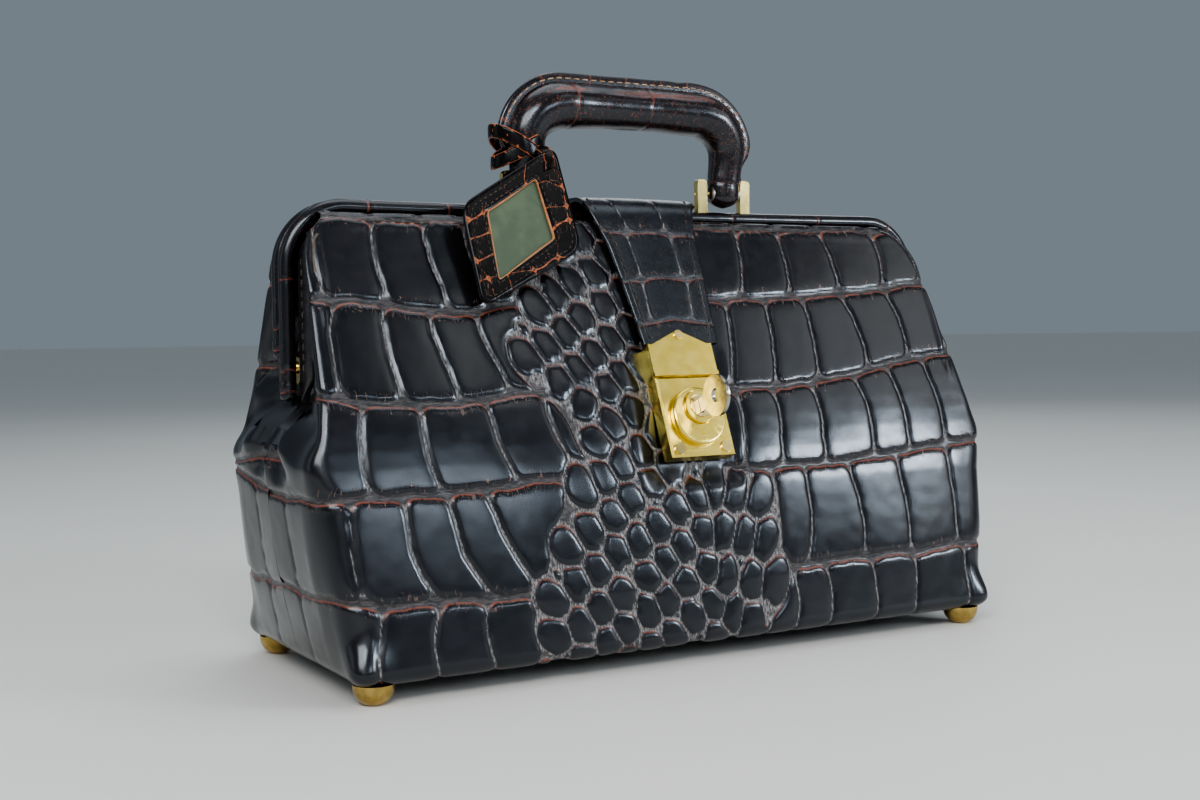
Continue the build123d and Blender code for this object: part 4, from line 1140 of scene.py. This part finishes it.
def make_tag():
    """The tag: a leather front with a window, the card in it, a back layer, edges and stitches."""
    outer, window = rounded(TAG_OUTER, 8, 300), rounded(TAG_WINDOW, 2.0, 300)
    # each loop starts at its own corner, so the window's points are matched by their angle
    angles, own = (np.unwrap(np.arctan2(*(line - TAG_MIDDLE).T[::-1])) for line in (outer, window))
    turns = np.concatenate([own + 2 * pi * k for k in range(-2, 3)])
    order = np.argsort(turns)
    window = stack(*(np.interp(angles, turns[order], np.tile(window[:, k], 5)[order])
                     for k in (0, 1)))
    profile = [(window, d) for d in (0.45, 1.0, 1.55)]
    profile += [(window * (1 - t) + outer * t, TAG_FACE) for t in np.linspace(0, 1, 18)]
    profile += [(outer, d) for d in (1.5, 1.0, 0.45)]
    grid = np.array([p for p, _ in profile])
    d = np.array([d for _, d in profile])[:, None]
    face = d == TAG_FACE
    x, v = grid[..., 0], grid[..., 1]
    wx, wv = x + 4.2 * lattice(x, v, 11, 61), v + 4.2 * lattice(x, v, 11, 62)
    belts = nearest(wv - 0.35 * wx, (26, 9, -3, -16, -31, -44)) - 0.02
    lanes = nearest(wx + 0.25 * wv, (-124, -111, -92, -78, -60)) + 0.12
    edge = blunt_min(belts, lanes, 3.0)
    fold = np.min([np.linalg.norm(grid - line, axis=2) for line in (outer, window)], axis=0)
    d = d - (0.35 * (1 - ease(edge, -0.5, 0.8)) + 0.3 * np.exp(-fold / 0.7)) * face
    piece = grid_piece("tag_face", over_tag(grid, d), TAG_LEATHER, loop=True, flip=True,
                       edge=np.where(face, edge, -1.0), belt=belts, top=0.9, cell=0.3,
                       pat=stack(x, 300, v))
    settle(piece, "tag", "tag_leather", "tag_front")
    # raw cut edge round the window, rolled edge round the outside
    ring = ((0.0, 1.92), (0.7, 1.75), (0.9, 1.2), (0.8, 0.5), (0.0, 0.35), (-0.35, 1.0),
            (0.0, 1.92))
    for name, line, sign, material in (("tag_window_edge", window, 1, RAW_EDGE),
                                       ("tag_outer_edge", outer, -1, TAG_LEATHER)):
        inward = unit(TAG_MIDDLE - line) * sign
        points = np.array([over_tag(line + inward * a, b, line) for a, b in ring])
        rim = grid_piece(name, points, material, loop=True, flip=sign < 0, edge=1.5, belt=9, top=0,
                         cell=0, pat=points)
        settle(rim, "tag", "tag_leather")
    for name, line, spread, high, low, material, node, slot in (
            ("tag_card_face", rounded(TAG_WINDOW, 2, 120), 1.06, 0.35, -0.3, CARD, "tag_card",
             "tag_card"),
            ("tag_back_face", outer, 1.0, -0.4, -1.8, DARK_LEATHER, "tag_back", "tag_leather")):
        centre = line.mean(0)
        loops = [centre + (line - centre) * t * spread for t in (1e-3, 0.25, 0.5, 0.75, 0.9, 1.0)]
        layers = [(p, high) for p in loops] + [(p, low) for p in loops[::-1]]
        points = np.array([over_tag(p, d) for p, d in layers])
        settle(grid_piece(name, points, material, loop=True, flip=True), "tag", slot, node)
    rows = []
    for line, inset in ((outer, 3.2), (window, -2.4)):
        p = line + unit(TAG_MIDDLE - line) * inset
        facing = on_tag(p[:, 0], p[:, 1], 5.0) - on_tag(p[:, 0], p[:, 1], 0.0)
        rows += stitch_row(over_tag(p, 1.95), facing, 3.6, 2.0, 0.28)
    settle(merge("tag_stitches", rows, DARK_THREAD), "tag", "tag_leather")


# A band's section: place across its width and height, in parts of its half width and thickness.
BAND = np.array([(-1, 0), (-0.97, 0.75), (-0.6, 1), (0, 1.06), (0.6, 1), (0.97, 0.75), (1, 0),
                 (0.9, -0.6), (0, -0.7), (-0.9, -0.6)])


def band(name, line, out, wide, width, seed):
    """A flat leather band along a line of points, with its outward and widthways directions."""
    thick = 1.5
    points = np.stack([line + wide * (w * width / 2) + out * (t * thick / 2) for w, t in BAND], 1)
    f, w = run_length(line)[:, None], BAND[:, 0] * width / 2
    marks = np.cumsum(np.random.RandomState(seed).uniform(5, 9, 14))
    edge = np.minimum(nearest(f + 0.5 * w, marks) + 0.05, width / 2 - np.abs(w) + 0.02)
    return grid_piece(name, points, TAG_LEATHER, loop=True, edge=edge, belt=9, top=1, cell=0.2,
                      pat=stack(f, seed, w))


def make_tag_loop():
    """Two crossed bands round the handle's foot, and the tab that hangs the tag."""
    a = np.linspace(0, 2 * pi, 61)
    for k, tilt in enumerate((28, -30)):
        wide_r, deep_r = 14.6 + 1.2 * k, 11.2 + 1.2 * k
        line = stack(-69.6 + wide_r * np.cos(a), -5 + deep_r * np.sin(a),
                     271.0 + math.tan(math.radians(tilt)) * wide_r * np.cos(a))
        out = stack(np.cos(a), np.sin(a), 0)
        wide = np.cross(unit(np.gradient(line, axis=0)), out)
        piece = band("tag_loop_band_%d" % (k + 1), line, out, wide, 7.5, 70 + k)
        settle(piece, "handle", "tag_leather", *(["tag_loop"] if k == 0 else []))
    line = curve(np.array([-63.0, -15.6, 271.0]), np.array([-60.0, -23.5, 270.0]),
                 on_tag(-62.0, -4.0, 3.6), np.linspace(0, 1, 24)[:, None])
    wide = np.broadcast_to([0.93, 0.0, 0.36], line.shape)
    out = np.cross(wide, unit(np.gradient(line, axis=0)))
    out = np.where(out[:, 1:2] > 0, -out, out)
    settle(band("tag_tab", line, out, wide, 6.0, 75), "tag", "tag_leather")


make_tag()
make_tag_loop()

# -------------------------------------------------- carried-over hardware ---
FINISH = {
    BRASS: "lock_body hasp_plate lock_back_plate lock_bezel lock_boss hasp_tongue",
    BRIGHT_BRASS: "lock_screws lock_rivets hasp_rivet key_plug handle_brackets handle_pins "
                  "anchor_rivets hinge_rivets",
    OLD_BRASS: "feet foot_screws hinge_washers",
    KEY_STEEL: "key lock_bolt",
    STEEL: "front_frame_steel back_frame_steel front_hinge_tabs back_hinge_tabs hinge_stays "
           "handle_core",
    BOARD: "base_board",
}
BEVELS = {                           # mm
    "lock_body": 0.5, "hasp_plate": 0.45, "lock_bezel": 0.5, "lock_boss": 0.35, "key": 0.35,
    "handle_brackets": 0.5, "key_plug": 0.2, "lock_screws": 0.2, "hasp_rivet": 0.2,
    "handle_pins": 0.3,
}
for material, names in FINISH.items():
    for name in names.split():
        nodes[name].data.materials.clear()
        nodes[name].data.materials.append(material)
for name, width in BEVELS.items():
    weld = nodes[name].modifiers.new("weld", "WELD")
    weld.merge_threshold = 0.00001
    bevel = nodes[name].modifiers.new("bevel", "BEVEL")
    bevel.width = width * MM
    bevel.segments = 3
    bevel.limit_method = "ANGLE"
    bevel.angle_limit = math.radians(35)
    bevel.harden_normals = False

lo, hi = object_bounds()
